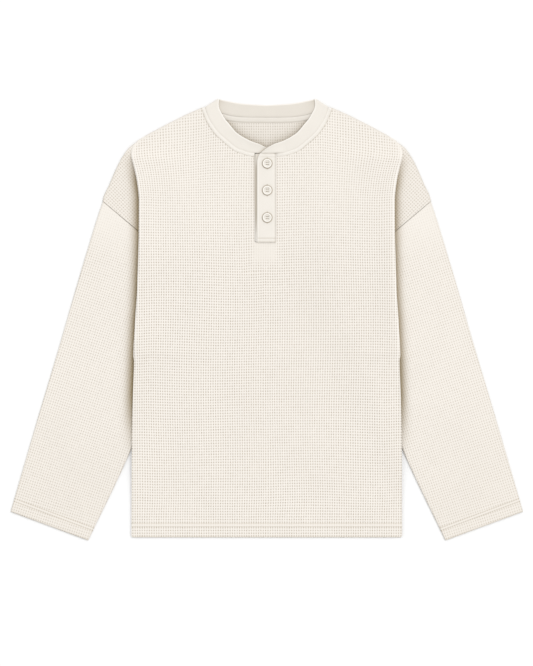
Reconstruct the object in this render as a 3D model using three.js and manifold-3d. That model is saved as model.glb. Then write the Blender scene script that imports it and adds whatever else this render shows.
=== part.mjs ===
// A long-sleeved henley shirt in waffle knit, laid flat on its back.
// Millimetres. +X is to the right of someone looking down at the shirt, +Y runs from the hem to the neck,
// and +Z is up from the surface it lies on. The source measures Y from the hem, and the finished group is
// moved so that its origin is under the middle of its outline.
//
// Each half of the body is folded as it lies: beside the arm, front and back fold under together, run back
// outward beneath themselves and come out again as the dropped shoulder, which carries the sleeve.

import * as THREE from 'three';
import { mergeVertices } from 'three/addons/utils/BufferGeometryUtils.js';
import Module from 'manifold-3d';

const wasm = await Module();
wasm.setup();

// Cloth
const wall = 1.5;
const gap = 0.3;
const halfPair = wall + gap / 2;
const layer = 2 * (wall + gap);
const foldRadius = layer / 2;
const rampClear = 4;
const roundOver = 1.4;

// Body
const bodyLength = 700;
const placketLoft = 4.2;

// Neckband
const bandThick = 2;
const bandFold = bandThick / 2 + gap / 2;
const bandLap = bandThick + gap;

// Placket
const placketHalf = 14.9;
const placketThick = 1.8;
const placketTop = 621.3;
const placketEnd = 477;
const slitLeft = -18;
const slitRight = 16.3;

// Buttons
const buttonRadius = 7.5;
const buttonThick = 2.6;
const buttonHoleRadius = 0.9;
const buttonHoleSpread = 1.75;
const buttonX = 0.6;
const buttonRows = [604.6, 561.3, 517.3];

// Where the outline's parts run, as half widths from the middle of the shirt at heights from the hem
const sideFold = [
  { y: 0, x: 221 },
  { y: 142, x: 220 },
  { y: 261, x: 216.3 },
  { y: 339, x: 212.2 },
  { y: 397, x: 208.4 },
  { y: 517, x: 206 },
  { y: 548, x: 205.6 },
  { y: 588, x: 208 },
  { y: 612.7, x: 214.5 },
];
const shoulderLine = [
  { x: 0, y: 700 },
  { x: 100.4, y: 696.4 },
  { x: 116.6, y: 690.4 },
  { x: 147.4, y: 675.9 },
  { x: 184.7, y: 656.4 },
  { x: 209.8, y: 641.8 },
  { x: 226, y: 627.3 },
  { x: 235.7, y: 612.7 },
];
const capEdge = [
  { y: 404, x: 100 },
  { y: 495, x: 207 },
  { y: 543.9, x: 265.4 },
  { y: 572.2, x: 254.3 },
  { y: 591.6, x: 246.2 },
  { y: 612.7, x: 235.7 },
];
const innerFold = [
  { y: 404, x: 100 },
  { y: 495, x: 147 },
  { y: 572, x: 187 },
  { y: 612.7, x: 209 },
];
const hiddenSide = [
  { y: 314, x: 202 },
  { y: 338, x: 172 },
  { y: 370, x: 133 },
  { y: 404, x: 100 },
];
const sleeveOuter = [
  { at: 0, x: 265.4, y: 543.9 },
  { at: 0.06, x: 275.4, y: 513.9 },
  { at: 0.175, x: 293.2, y: 455.5 },
  { at: 0.48, x: 338.6, y: 300 },
  { at: 0.79, x: 384.8, y: 144.5 },
  { at: 1, x: 414.6, y: 41.6 },
];
const sleeveInner = [
  { at: 0, x: 112, y: 414.2 },
  { at: 0.65, x: 219.8, y: 141.9 },
  { at: 1, x: 289.2, y: -4.9 },
];

// How wide the slope is from the part that lies on the surface up to the part that lies on the sleeve
const slopes = [
  { y: 0, width: 45 },
  { y: 142, width: 55 },
  { y: 292, width: 90 },
  { y: 404, width: 76 },
  { y: 495, width: 110 },
  { y: 612.7, width: 130 },
];

// Rows of the body from hem to shoulder: how far each fold has turned, in half turns, and how far the row
// has bent to follow the shoulder line. Where a fold begins, front and back stand further apart, and the
// rows below it are held off the sleeve.
const rows = [
  { y: 0, under: 0, over: 0, bend: 0 },
  { y: 70, under: 0, over: 0, bend: 0 },
  { y: 142, under: 0, over: 0, bend: 0 },
  { y: 220, under: 0, over: 0, bend: 0, held: 0.9 },
  { y: 286, under: 0, over: 0, bend: 0, held: 2.1 },
  { y: 300, under: 0.5, over: 0, bend: 0, apart: 0.25 },
  { y: 314, under: 1, over: 0, bend: 0, apart: 0.1 },
  { y: 338, under: 1, over: 0, bend: 0 },
  { y: 370, under: 1, over: 0, bend: 0 },
  { y: 404, under: 1, over: 0, bend: 0 },
  { y: 408, under: 1, over: 0.5, bend: 0, apart: 0.3 },
  { y: 412, under: 1, over: 1, bend: 0 },
  { y: 450, under: 1, over: 1, bend: 0 },
  { y: 495, under: 1, over: 1, bend: 0 },
  { y: 543.9, under: 1, over: 1, bend: 0 },
  { y: 572.2, under: 1, over: 1, bend: 0 },
  { y: 594, under: 1, over: 1, bend: 0 },
  { y: 612.7, under: 1, over: 1, bend: 0, apart: 0.2 },
  { y: 619, under: 0.7, over: 0.7, bend: 0.15, apart: 0.2, fold: 217, end: 231.7 },
  { y: 627.3, under: 0.42, over: 0.42, bend: 0.4, fold: 216, end: 226 },
  { y: 635, under: 0.2, over: 0.2, bend: 0.72, fold: 209, end: 217.8 },
  { y: 640.4, under: 0, over: 0, bend: 1, fold: 202, end: 210.6 },
  { y: 641.35, under: 0, over: 0, bend: 1, fold: 202, end: 210.1, full: 0.74 },
  { y: 641.8, under: 0, over: 0, bend: 1, fold: 202, end: 209.8, full: 0.3 },
];

// Columns across half the body: steps before, on and after the ramp up to the folded layers, then round
// the first fold, along the layer it hides, round the second fold and on to the edge
const stretchSteps = [2, 4, 2, 4, 1, 4, 1];
const shortestFlat = 8;
const shortestFolded = [1.5, 0.5, 1, 2];

// Neckline seam and band edge, in pairs from the middle of the front round to the middle of the back
const frontBand = [
  { seamX: 0, seamY: 621, edgeX: 0, edgeY: 629.5 },
  { seamX: 14.7, seamY: 621.3, edgeX: 12.5, edgeY: 636 },
  { seamX: 27.4, seamY: 622.1, edgeX: 23.6, edgeY: 639.8 },
  { seamX: 38.7, seamY: 625.6, edgeX: 32, edgeY: 643.8 },
  { seamX: 50, seamY: 630.2, edgeX: 39, edgeY: 647.7 },
  { seamX: 64, seamY: 641.6, edgeX: 50, edgeY: 655.6 },
  { seamX: 78.7, seamY: 654.8, edgeX: 62, edgeY: 670 },
  { seamX: 86, seamY: 664.7, edgeX: 67.5, edgeY: 676.7 },
  { seamX: 91.5, seamY: 673.4, edgeX: 72.4, edgeY: 685 },
  { seamX: 96.9, seamY: 685.7, edgeX: 77.4, edgeY: 695.5 },
];
const shoulderBand = { seamX: 100.4, seamY: 696.4, edgeX: 78.4, edgeY: 710.4 };
const backBand = [
  { seamX: 90, seamY: 692, edgeX: 74, edgeY: 708.6 },
  { seamX: 73.9, seamY: 686.5, edgeX: 62.7, edgeY: 706.4 },
  { seamX: 56.5, seamY: 682, edgeX: 50, edgeY: 703.9 },
  { seamX: 36, seamY: 680, edgeX: 34, edgeY: 701.9 },
  { seamX: 0, seamY: 679.6, edgeX: 0, edgeY: 699.7 },
];

// Reads a table at a height or place, straight between its rows
function read(table, key, value, at) {
  const last = table.length - 1;
  let i = 0;
  while (i < last - 1 && table[i + 1][key] < at) i += 1;
  const a = table[i];
  const b = table[i + 1];
  const t = Math.min(1, Math.max(0, (at - a[key]) / (b[key] - a[key])));
  return a[value] + (b[value] - a[value]) * t;
}

const smooth = (t) => {
  const c = Math.min(1, Math.max(0, t));
  return c * c * (3 - 2 * c);
};

// How far the front stands above its lying height, round the neck and down the placket
const loftRise = rows.map(({ y }) => ({ y, rise: smooth((y - 430) / 180) }));
function loft(x, y) {
  const rise = read(loftRise, 'y', 'rise', y);
  const fall = 1 - smooth((y - 655) / 45);
  const aside = 1 - smooth((Math.abs(x) - 70) / 60);
  return placketLoft * rise * fall * aside;
}

// One row's path between front and back, from the middle of the shirt to its end: flat up to the first
// fold, round it, along the hidden layer, round the second fold and flat again to the edge. It returns
// the places where these stretches end, and a function that gives place and normal along the path.
function pathOf(row) {
  const turns = [row.under * Math.PI, 0, -row.over * Math.PI, 0];
  const lengths = turns.map((turn, i) => Math.max(shortestFolded[i], foldRadius * Math.abs(turn)));
  const hiddenLast = lengths[2] + lengths[3];
  const fold = row.fold ?? read(sideFold, 'y', 'x', row.y);
  const nose = (foldRadius + halfPair) * Math.sin(Math.min(turns[0], Math.PI / 2));
  const turnX = fold - (row.under > 0 ? nose : lengths[0] + lengths[1] + hiddenLast);
  const twice = row.over > 0;
  const closed = row.under === 1;
  if (closed) {
    const tuckX = twice ? read(innerFold, 'y', 'x', row.y) : read(hiddenSide, 'y', 'x', row.y);
    lengths[1] = Math.max(lengths[1], turnX - tuckX - (twice ? 0 : hiddenLast));
  }
  const walk = (distance) => {
    let left = distance;
    let x = 0;
    let fall = 0;
    let angle = 0;
    for (let i = 0; i < turns.length && left > 0; i += 1) {
      const run = Math.min(left, lengths[i]);
      const next = angle + (turns[i] * run) / lengths[i];
      if (turns[i] === 0) {
        x += run * Math.cos(angle);
        fall += run * Math.sin(angle);
      } else {
        const radius = lengths[i] / turns[i];
        x += radius * (Math.sin(next) - Math.sin(angle));
        fall += radius * (Math.cos(angle) - Math.cos(next));
      }
      angle = next;
      left -= run;
    }
    return { x, fall, angle };
  };
  if (row.over === 1 || row.end) {
    const end = row.end ?? read(capEdge, 'y', 'x', row.y);
    lengths[3] = Math.max(lengths[3], end - turnX - walk(lengths[0] + lengths[1] + lengths[2]).x);
  }
  const whole = walk(lengths.reduce((sum, length) => sum + length));
  const hang = closed ? layer : whole.fall - halfPair * (1 - Math.cos(whole.angle));
  const rise = row.bend > 0 ? whole.fall : layer + hang + (row.held ?? 0);
  const overFold = twice || row.bend > 0;
  const rampX = (overFold ? turnX - (closed ? lengths[1] : 0) : sleeveInnerAt(row.y)) - rampClear;
  const slope = Math.min(read(slopes, 'y', 'width', row.y), rampX);
  const top = (x) => halfPair + rise * smooth((x - rampX) / slope + 1);
  const at = (s) => {
    if (s <= turnX) return { x: s, z: top(s), nx: 0, nz: 1 };
    const { x, fall, angle } = walk(s - turnX);
    return { x: turnX + x, z: top(turnX) - fall, nx: Math.sin(angle), nz: Math.cos(angle) };
  };
  const rampEnd = Math.min(rampX, turnX - shortestFlat);
  const ends = [Math.min(rampX - slope, rampEnd - shortestFlat), rampEnd, turnX];
  lengths.forEach((length) => ends.push(ends[ends.length - 1] + length));
  return { ends, at, turnX };
}

// The sleeve's inner edge where the body lies over it
function sleeveInnerAt(y) {
  const [top, emerges, cuff] = sleeveInner;
  const from = y > emerges.y ? top : emerges;
  const to = y > emerges.y ? emerges : cuff;
  return from.x + ((to.x - from.x) * (y - from.y)) / (to.y - from.y);
}

// Places along a row's path, one for each column, and how full the wall is there
function columnsOf(ends) {
  const marks = [0, ...ends];
  const columns = [];
  stretchSteps.forEach((steps, i) => {
    for (let k = 0; k < steps; k += 1) {
      columns.push({ s: marks[i] + ((marks[i + 1] - marks[i]) * k) / steps, full: 1 });
    }
  });
  const total = ends[ends.length - 1];
  columns.push({ s: total - roundOver, full: 1 });
  columns.push({ s: total - roundOver / 3, full: 0.74 });
  columns.push({ s: total, full: 0.3 });
  return columns;
}

// Turns two equal grids of points, the two faces of a wall, into one closed mesh
function closedWall(face, back) {
  const positions = [];
  const index = [];
  const rowCount = face.length;
  const columnCount = face[0].length;
  for (const grid of [face, back]) {
    for (const line of grid) {
      for (const p of line) positions.push(p.x, p.y, p.z);
    }
  }
  const id = (side, r, c) => side * rowCount * columnCount + r * columnCount + c;
  const quad = (a, b, c, d) => index.push(a, b, c, a, c, d);
  for (let r = 0; r < rowCount - 1; r += 1) {
    for (let c = 0; c < columnCount - 1; c += 1) {
      quad(id(0, r, c), id(0, r, c + 1), id(0, r + 1, c + 1), id(0, r + 1, c));
      quad(id(1, r, c), id(1, r + 1, c), id(1, r + 1, c + 1), id(1, r, c + 1));
    }
  }
  for (let c = 0; c < columnCount - 1; c += 1) {
    const top = rowCount - 1;
    quad(id(1, 0, c), id(1, 0, c + 1), id(0, 0, c + 1), id(0, 0, c));
    quad(id(0, top, c), id(0, top, c + 1), id(1, top, c + 1), id(1, top, c));
  }
  for (let r = 0; r < rowCount - 1; r += 1) {
    const end = columnCount - 1;
    quad(id(0, r, 0), id(0, r + 1, 0), id(1, r + 1, 0), id(1, r, 0));
    quad(id(0, r, end), id(1, r, end), id(1, r + 1, end), id(0, r + 1, end));
  }
  return geometryFrom(positions, index);
}

// Turns equal closed loops of points into one closed mesh. Where ring is true the last joins the first.
function closedLoops(loops, ring) {
  const positions = [];
  const index = [];
  const count = loops[0].length;
  loops.forEach((loop) => loop.forEach((p) => positions.push(p.x, p.y, p.z)));
  const steps = ring ? loops.length : loops.length - 1;
  for (let r = 0; r < steps; r += 1) {
    const next = (r + 1) % loops.length;
    for (let c = 0; c < count; c += 1) {
      const d = (c + 1) % count;
      index.push(r * count + c, r * count + d, next * count + d);
      index.push(r * count + c, next * count + d, next * count + c);
    }
  }
  if (!ring) {
    const last = (loops.length - 1) * count;
    for (let c = 1; c < count - 1; c += 1) {
      index.push(0, c + 1, c);
      index.push(last, last + c, last + c + 1);
    }
  }
  return geometryFrom(positions, index);
}

function geometryFrom(positions, index) {
  const geometry = new THREE.BufferGeometry();
  geometry.setAttribute('position', new THREE.Float32BufferAttribute(positions, 3));
  geometry.setIndex(signedVolume(positions, index) < 0 ? index.reverse() : index);
  return geometry;
}

function signedVolume(positions, index) {
  const corner = (i) => new THREE.Vector3().fromArray(positions, index[i] * 3);
  let sum = 0;
  for (let i = 0; i < index.length; i += 3) {
    sum += corner(i).dot(corner(i + 1).cross(corner(i + 2)));
  }
  return sum;
}

function solidOf(geometry) {
  const bare = geometry.clone();
  bare.deleteAttribute('normal');
  bare.deleteAttribute('uv');
  const merged = mergeVertices(bare, 1e-4);
  return new wasm.Manifold(
    new wasm.Mesh({
      numProp: 3,
      vertProperties: new Float32Array(merged.attributes.position.array),
      triVerts: new Uint32Array(merged.index.array),
    }),
  );
}

function geometryOf(solid) {
  const mesh = solid.getMesh();
  const geometry = new THREE.BufferGeometry();
  geometry.setAttribute('position', new THREE.BufferAttribute(mesh.vertProperties, 3));
  geometry.setIndex(new THREE.BufferAttribute(mesh.triVerts, 1));
  return geometry;
}

// A cutter with straight sides, from an outline of points seen from above
function prism(outline) {
  const shape = new THREE.Shape(outline.map(([x, y]) => new THREE.Vector2(x, y)));
  const depth = 40;
  const geometry = new THREE.ExtrudeGeometry(shape, { depth, bevelEnabled: false });
  geometry.translate(0, 0, -depth / 4);
  return solidOf(geometry);
}

// Front or back, both halves at once. Side +1 is the front, on top of the path, and -1 the back.
function panel(side) {
  const faces = [];
  const insides = [];
  const bent = (x, row) =>
    row.bend * (read(shoulderLine, 'x', 'y', x) - read(shoulderLine, 'x', 'y', row.end ?? x));
  for (const row of rows) {
    const path = pathOf(row);
    const half = columnsOf(path.ends).map(({ s, full }) => {
      const { x, z, nx, nz } = path.at(s);
      const y = row.y + bent(Math.min(x, row.end ?? x), row);
      const stand = side > 0 ? loft(x, y) * (s < path.turnX ? 1 : 0) : 0;
      const near = side * (gap / 2 + (row.apart ?? 0));
      const far = side * (gap / 2 + wall * Math.min(full, row.full ?? 1));
      const point = (d) => new THREE.Vector3(x + nx * d, y, z + nz * d + stand);
      return { face: point(far), inside: point(near) };
    });
    const mirrored = (p) => new THREE.Vector3(-p.x, p.y, p.z);
    const left = half.slice(1).reverse();
    faces.push([...left.map((p) => mirrored(p.face)), ...half.map((p) => p.face)]);
    insides.push([...left.map((p) => mirrored(p.inside)), ...half.map((p) => p.inside)]);
  }
  return closedWall(faces, insides);
}

// The outline of a neckline, open at the top, from its seam's points and how much lower it ends
function neckOutline(seam, lower) {
  const above = bodyLength + 20;
  const right = seam.map((p) => [p.seamX, p.seamY]);
  right.push([shoulderBand.seamX, shoulderBand.seamY - lower]);
  right.push([shoulderBand.seamX + 3, above]);
  const left = right.filter(([x]) => x > 0).map(([x, y]) => [-x, y]);
  return [...left.reverse(), ...right];
}

function makeFront() {
  const slit = [
    [slitLeft, placketEnd + 0.7],
    [slitRight, placketEnd + 0.7],
    [slitRight, bodyLength],
    [slitLeft, bodyLength],
  ];
  const cut = solidOf(panel(1)).subtract(prism(neckOutline(frontBand, 0))).subtract(prism(slit));
  return geometryOf(cut);
}

function makeBack() {
  const seam = [...backBand].reverse();
  return geometryOf(solidOf(panel(-1)).subtract(prism(neckOutline(seam, bandThick + gap))));
}

// A sleeve is a tube pressed flat: its section has a round outer edge on each side and a narrow hollow
function makeSleeve(hand) {
  const places = [0, 0.03, 0.06, 0.175, 0.33, 0.48, 0.65, 0.8, 1];
  const armholeDrop = (gap / 49) * 76;
  const noseSteps = 4;
  const loop = (at, radius) => {
    const lower = at === 0 ? armholeDrop : 0;
    const outer = new THREE.Vector3(
      read(sleeveOuter, 'at', 'x', at),
      read(sleeveOuter, 'at', 'y', at) - lower,
      halfPair,
    );
    const inner = new THREE.Vector3(
      read(sleeveInner, 'at', 'x', at),
      read(sleeveInner, 'at', 'y', at) - lower,
      halfPair,
    );
    const across = outer.clone().sub(inner).normalize();
    const points = [];
    for (const [edge, start] of [
      [outer, -1],
      [inner, 1],
    ]) {
      const centre = edge.clone().addScaledVector(across, start * halfPair);
      for (let k = 0; k <= noseSteps; k += 1) {
        const angle = (Math.PI * k) / noseSteps;
        const p = centre.clone().addScaledVector(across, -start * radius * Math.sin(angle));
        p.z += start * radius * Math.cos(angle);
        points.push(p);
      }
    }
    return points.map((p) => new THREE.Vector3(hand * p.x, p.y, p.z));
  };
  const outside = places.map((at) => loop(at, halfPair));
  const hollow = places.map((at) => loop(at, gap / 2));
  return tube(outside, hollow);
}

// A tube with open ends, from equal loops of points on its outside and on its hollow
function tube(outside, hollow) {
  const loops = [...outside, ...hollow.reverse()];
  return closedLoops(loops, true);
}

// The neckband: one strip round the neck, its ends lapped at the middle of the front
function makeNeckband() {
  const restBack = bandThick / 2;
  const restFront = restBack + 2 * bandFold;
  const up = new THREE.Vector3(0, 0, 1);
  const station = (pair, hand, z, normal, endGap) => {
    const seam = new THREE.Vector3(hand * pair.seamX, pair.seamY, z);
    const edge = new THREE.Vector3(hand * pair.edgeX, pair.edgeY, z);
    const across = edge.clone().sub(seam).normalize();
    seam.addScaledVector(across, endGap);
    return { seam, edge, across, normal };
  };
  const frontHeight = (pair, hand) => {
    const lift = (loft(pair.seamX, pair.seamY) * (placketLoft - 0.75)) / placketLoft;
    const lap = hand > 0 ? bandLap * smooth((34 - pair.seamX) / 20) : 0;
    return restFront + lift + lap;
  };
  const front = (hand) => frontBand.map((p) => station(p, hand, frontHeight(p, hand), up, gap));
  const fold = (hand) => {
    const { seamX, seamY, edgeX, edgeY } = shoulderBand;
    const outward = new THREE.Vector3(edgeY - seamY, seamX - edgeX, 0).normalize();
    outward.x *= hand;
    const steps = 4;
    const stations = [];
    for (let k = 0; k <= steps; k += 1) {
      const angle = (Math.PI * k) / steps;
      const normal = outward.clone().multiplyScalar(Math.sin(angle));
      normal.addScaledVector(up, Math.cos(angle));
      const base = station(shoulderBand, hand, restBack + bandFold, normal, gap);
      for (const p of [base.seam, base.edge]) {
        p.addScaledVector(outward, -bandFold - bandThick / 2);
        p.addScaledVector(normal, bandFold);
      }
      stations.push(base);
    }
    return stations;
  };
  const down = up.clone().negate();
  const behind = (hand) => backBand.map((p) => station(p, hand, restBack, down, gap));
  const lapOver = { seamX: -7.9, seamY: 621, edgeX: -7.9, edgeY: 623.4 };
  const lapUnder = { seamX: -9, seamY: 621, edgeX: -9, edgeY: 627.5 };
  const lefts = [
    station(lapUnder, -1, frontHeight(frontBand[0], -1), up, gap),
    ...front(-1),
    ...fold(-1),
    ...behind(-1),
  ];
  const rights = [
    station(lapOver, 1, frontHeight(frontBand[0], 1), up, gap),
    ...front(1),
    ...fold(1),
    ...behind(1).slice(0, -1),
  ];
  const section = ({ seam, edge, across, normal }) => {
    const width = edge.distanceTo(seam);
    const half = bandThick / 2;
    const soft = Math.min(0.9, width / 3);
    const points = [
      [0, -0.7 * half],
      [0, 0.7 * half],
      [soft, half],
      [width - soft, half],
      [width, 0.45 * half],
      [width, -0.45 * half],
      [width - soft, -half],
      [soft, -half],
    ];
    return points.map(([along, out]) =>
      seam.clone().addScaledVector(across, along).addScaledVector(normal, out),
    );
  };
  return closedLoops([...lefts, ...rights.reverse()].map(section), false);
}

// A strip of the placket between two sides, from a list of heights and how far each side reaches there
function placketStrip(stations, low, thick) {
  const soft = 0.5;
  const loops = stations.map(({ y, left, right }) => {
    const base = low + loft(0, y);
    const top = base + thick;
    return [
      new THREE.Vector3(left, y, base + soft),
      new THREE.Vector3(left + soft, y, base),
      new THREE.Vector3(right - soft, y, base),
      new THREE.Vector3(right, y, base + soft),
      new THREE.Vector3(right, y, top - soft),
      new THREE.Vector3(right - soft, y, top),
      new THREE.Vector3(left + soft, y, top),
      new THREE.Vector3(left, y, top - soft),
    ];
  });
  return closedLoops(loops, false);
}

function makePlacketUpper() {
  const straight = [placketEnd, 495, 520, 543.9, 572.2, 594, 606];
  const stations = straight.map((y) => ({ y, left: -placketHalf, right: placketHalf }));
  stations.push({ y: 614, left: 1.6 - placketHalf, right: placketHalf });
  stations.push({ y: 619.4, left: 4 - placketHalf, right: placketHalf });
  stations.push({ y: placketTop - gap, left: 6.9 - placketHalf, right: placketHalf });
  return placketStrip(stations, 2 * (wall + gap), placketThick);
}

function makePlacketUnder() {
  const heights = [placketEnd + 1, 495, 520, 543.9, 572.2, 594, 606, 614, placketTop - 2 * gap];
  const stations = heights.map((y) => ({ y, left: slitLeft + gap, right: slitRight - gap }));
  return placketStrip(stations, wall + gap, wall);
}

// A four-hole button: a disc with a raised rim and a dished middle
function makeButton(y) {
  const profile = [
    [0, 0],
    [buttonRadius - 1.2, 0],
    [buttonRadius, 0.9],
    [buttonRadius, 1.9],
    [buttonRadius - 0.7, buttonThick],
    [buttonRadius - 1.7, buttonThick - 0.1],
    [buttonRadius - 2.6, buttonThick - 0.9],
    [0, buttonThick - 0.9],
  ];
  const lathe = new THREE.LatheGeometry(profile.map(([r, h]) => new THREE.Vector2(r, h)), 28);
  lathe.rotateX(Math.PI / 2);
  let solid = solidOf(lathe);
  for (const [sx, sy] of [[1, 1], [1, -1], [-1, 1], [-1, -1]]) {
    const hole = new THREE.CylinderGeometry(buttonHoleRadius, buttonHoleRadius, 12, 8);
    hole.rotateX(Math.PI / 2);
    hole.translate(sx * buttonHoleSpread, sy * buttonHoleSpread, 0);
    solid = solid.subtract(solidOf(hole));
  }
  const seat = 2 * (wall + gap) + placketThick + gap;
  const tilt = (loft(0, y + buttonRadius) - loft(0, y - buttonRadius)) / (2 * buttonRadius);
  const geometry = geometryOf(solid);
  geometry.rotateX(Math.atan(tilt));
  geometry.translate(buttonX, y, seat + loft(0, y));
  return geometry;
}

const waffle = { color: 0xe9e1d5, roughness: 0.95, metalness: 0 };
const jersey = { color: 0xece4d8, roughness: 0.9, metalness: 0 };
const resin = { color: 0xe6dccb, roughness: 0.4, metalness: 0 };

const shirt = new THREE.Group();

function add(name, geometry, look) {
  const mesh = new THREE.Mesh(geometry, new THREE.MeshStandardMaterial(look));
  mesh.name = name;
  mesh.position.y = -(shoulderBand.edgeY + sleeveInner[2].y) / 2;
  shirt.add(mesh);
}

add('back', makeBack(), waffle);
add('front', makeFront(), waffle);
add('sleeve_left', makeSleeve(1), waffle);
add('sleeve_right', makeSleeve(-1), waffle);
add('neckband', makeNeckband(), jersey);
add('placket_under', makePlacketUnder(), jersey);
add('placket_upper', makePlacketUpper(), jersey);
buttonRows.forEach((y, i) => add(`button_${i + 1}`, makeButton(y), resin));

export default shirt;
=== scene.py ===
# A long-sleeved henley shirt in cream waffle knit, laid flat on its back and seen straight from above.
# The garment's own sizes are in millimetres, with Y measured from the hem, and place() turns them into
# the frame's metres. The tables follow those of the solids, with a few more rows, and are read here along
# smooth curves.

import math

import bmesh
import bpy
import numpy as np
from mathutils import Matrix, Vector


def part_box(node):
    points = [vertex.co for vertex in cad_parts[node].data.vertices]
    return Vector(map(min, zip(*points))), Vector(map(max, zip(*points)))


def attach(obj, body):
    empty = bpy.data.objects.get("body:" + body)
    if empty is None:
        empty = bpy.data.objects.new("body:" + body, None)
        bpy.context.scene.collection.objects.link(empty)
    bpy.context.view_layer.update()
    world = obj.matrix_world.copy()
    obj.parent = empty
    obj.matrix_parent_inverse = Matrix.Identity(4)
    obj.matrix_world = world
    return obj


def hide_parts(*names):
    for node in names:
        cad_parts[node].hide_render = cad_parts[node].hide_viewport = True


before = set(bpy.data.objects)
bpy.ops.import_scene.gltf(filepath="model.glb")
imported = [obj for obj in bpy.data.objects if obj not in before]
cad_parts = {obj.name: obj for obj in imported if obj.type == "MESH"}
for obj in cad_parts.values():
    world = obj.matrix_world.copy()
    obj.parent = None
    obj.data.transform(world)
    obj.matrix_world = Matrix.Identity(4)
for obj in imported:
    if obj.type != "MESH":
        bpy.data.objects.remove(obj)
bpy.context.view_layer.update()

MM = 0.001
HEM_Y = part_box("front")[0].y

# Cloth
WALL = 1.5
GAP = 0.3
HALF_PAIR = WALL + GAP / 2
LAYER = 2 * (WALL + GAP)
FOLD_RADIUS = LAYER / 2
RAMP_CLEAR = 4
PLACKET_LOFT = 4.2
PUFF = 3.5
PUFF_WIDTH = 24

# Waffle cell, how deep its pits are, and the turned hems
CELL_W = 3.84
CELL_H = 4.42
PIT_DEPTH = 0.8
HEM_WIDTH = 19.5

# Outline tables, as pairs of a height and a half width, or of places seen from above
SIDE_FOLD = [
    (0, 221), (142, 220.2), (261, 217.4), (339, 213.9), (397, 210.1),
    (517, 207), (548, 207), (580, 211), (612.7, 219),
]
SHOULDER_LINE = [
    (0, 700), (100.4, 696.4), (116.6, 690.4), (147.4, 675.9),
    (184.7, 656.4), (209.8, 641.8), (226, 627.3), (235.7, 612.7),
]
CAP_EDGE = [(404, 100), (495, 207), (543.9, 265.4), (572.2, 254.3), (591.6, 246.2), (612.7, 235.7)]
INNER_FOLD = [(404, 100), (495, 147), (572, 187), (612.7, 209)]
HIDDEN_SIDE = [(314, 202), (338, 172), (370, 133), (404, 100)]
SLOPES = [(0, 45), (142, 55), (292, 90), (404, 76), (495, 110), (612.7, 130)]
SLEEVE_OUTER = [
    (265.4, 543.9), (275.4, 513.9), (293.2, 455.5), (338.6, 300), (384.8, 144.5), (414.6, 41.6),
]
SLEEVE_INNER = [(112, 414.2), (219.8, 141.9), (289.2, -4.9)]
SLEEVE_GRAIN = math.radians(17.5)
CAP_GRAIN = math.radians(45)
ARMHOLE_TOP = 543.9

# Rows of the body: height, half turns under and over, bend along the shoulder, and what else differs
ROWS = [
    dict(y=0), dict(y=70), dict(y=142), dict(y=220, held=0.9), dict(y=286, held=2.1),
    dict(y=300, under=0.5), dict(y=314, under=1), dict(y=338, under=1), dict(y=370, under=1),
    dict(y=404, under=1), dict(y=408, under=1, over=0.5), dict(y=412, under=1, over=1),
    dict(y=450, under=1, over=1), dict(y=495, under=1, over=1), dict(y=543.9, under=1, over=1),
    dict(y=572.2, under=1, over=1), dict(y=594, under=1, over=1), dict(y=612.7, under=1, over=1),
    dict(y=619, under=0.45, over=0.45, bend=0.15, fold=220, end=231.7),
    dict(y=627.3, under=0.16, over=0.16, bend=0.4, fold=216, end=226),
    dict(y=635, under=0.04, over=0.04, bend=0.72, fold=208, end=217.8),
    dict(y=640.4, bend=1, fold=202, end=210.6),
    dict(y=641.8, bend=1, fold=202, end=209.8),
]
SHORTEST_FOLDED = [1.5, 0.5, 1, 2]
BENT_FROM = 612.7
LAST_ROW = ROWS[-1]["y"]

# Neckline seam and band edge, in pairs (seam x, seam y, edge x, edge y) from the middle outwards
FRONT_BAND = [
    (0, 621, 0, 629.5), (14.7, 621.3, 12.5, 636), (27.4, 622.1, 23.6, 639.8),
    (38.7, 625.6, 32, 643.8), (50, 630.2, 39, 647.7), (64, 641.6, 50, 655.6),
    (78.7, 654.8, 62, 670), (86, 664.7, 67.5, 676.7), (91.5, 673.4, 72.4, 685),
    (96.9, 685.7, 77.4, 695.5),
]
SHOULDER_BAND = (100.4, 696.4, 78.4, 710.4)
BACK_BAND = [
    (90, 692, 74, 708.6), (73.9, 686.5, 62.7, 706.4), (56.5, 682, 50, 703.9),
    (36, 680, 34, 701.9), (0, 679.6, 0, 699.7),
]
BAND_THICK = 2
BAND_FOLD = BAND_THICK / 2 + GAP / 2
BAND_LAP = BAND_THICK + GAP

# Placket opening in the front
SLIT_LEFT = -19.5
SLIT_RIGHT = 14.6
SLIT_END = 477.7


# Curves and tables
def pchip(xs, ys, at):
    """A smooth curve through a table that keeps its rises and falls, read at many places at once."""
    xs, ys, at = np.asarray(xs, float), np.asarray(ys, float), np.asarray(at, float)
    wide = (-1,) + (1,) * (ys.ndim - 1)
    h = np.diff(xs).reshape(wide)
    d = np.diff(ys, axis=0) / h
    m = np.zeros_like(ys)
    w1, w2 = 2 * h[1:] + h[:-1], h[1:] + 2 * h[:-1]
    rising = d[:-1] * d[1:] > 0
    safe = np.where(rising, d[:-1], 1), np.where(rising, d[1:], 1)
    m[1:-1] = np.where(rising, (w1 + w2) / (w1 / safe[0] + w2 / safe[1]), 0)
    m[0], m[-1] = d[0], d[-1]
    i = np.clip(np.searchsorted(xs, at, "right") - 1, 0, len(xs) - 2)
    step = h.ravel()[i].reshape(at.shape + (1,) * (ys.ndim - 1))
    t = np.clip((at - xs[i]) / h.ravel()[i], 0, 1).reshape(step.shape)
    t2, t3 = t * t, t * t * t
    return (
        (2 * t3 - 3 * t2 + 1) * ys[i]
        + (t3 - 2 * t2 + t) * step * m[i]
        + (3 * t2 - 2 * t3) * ys[i + 1]
        + (t3 - t2) * step * m[i + 1]
    )


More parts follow.
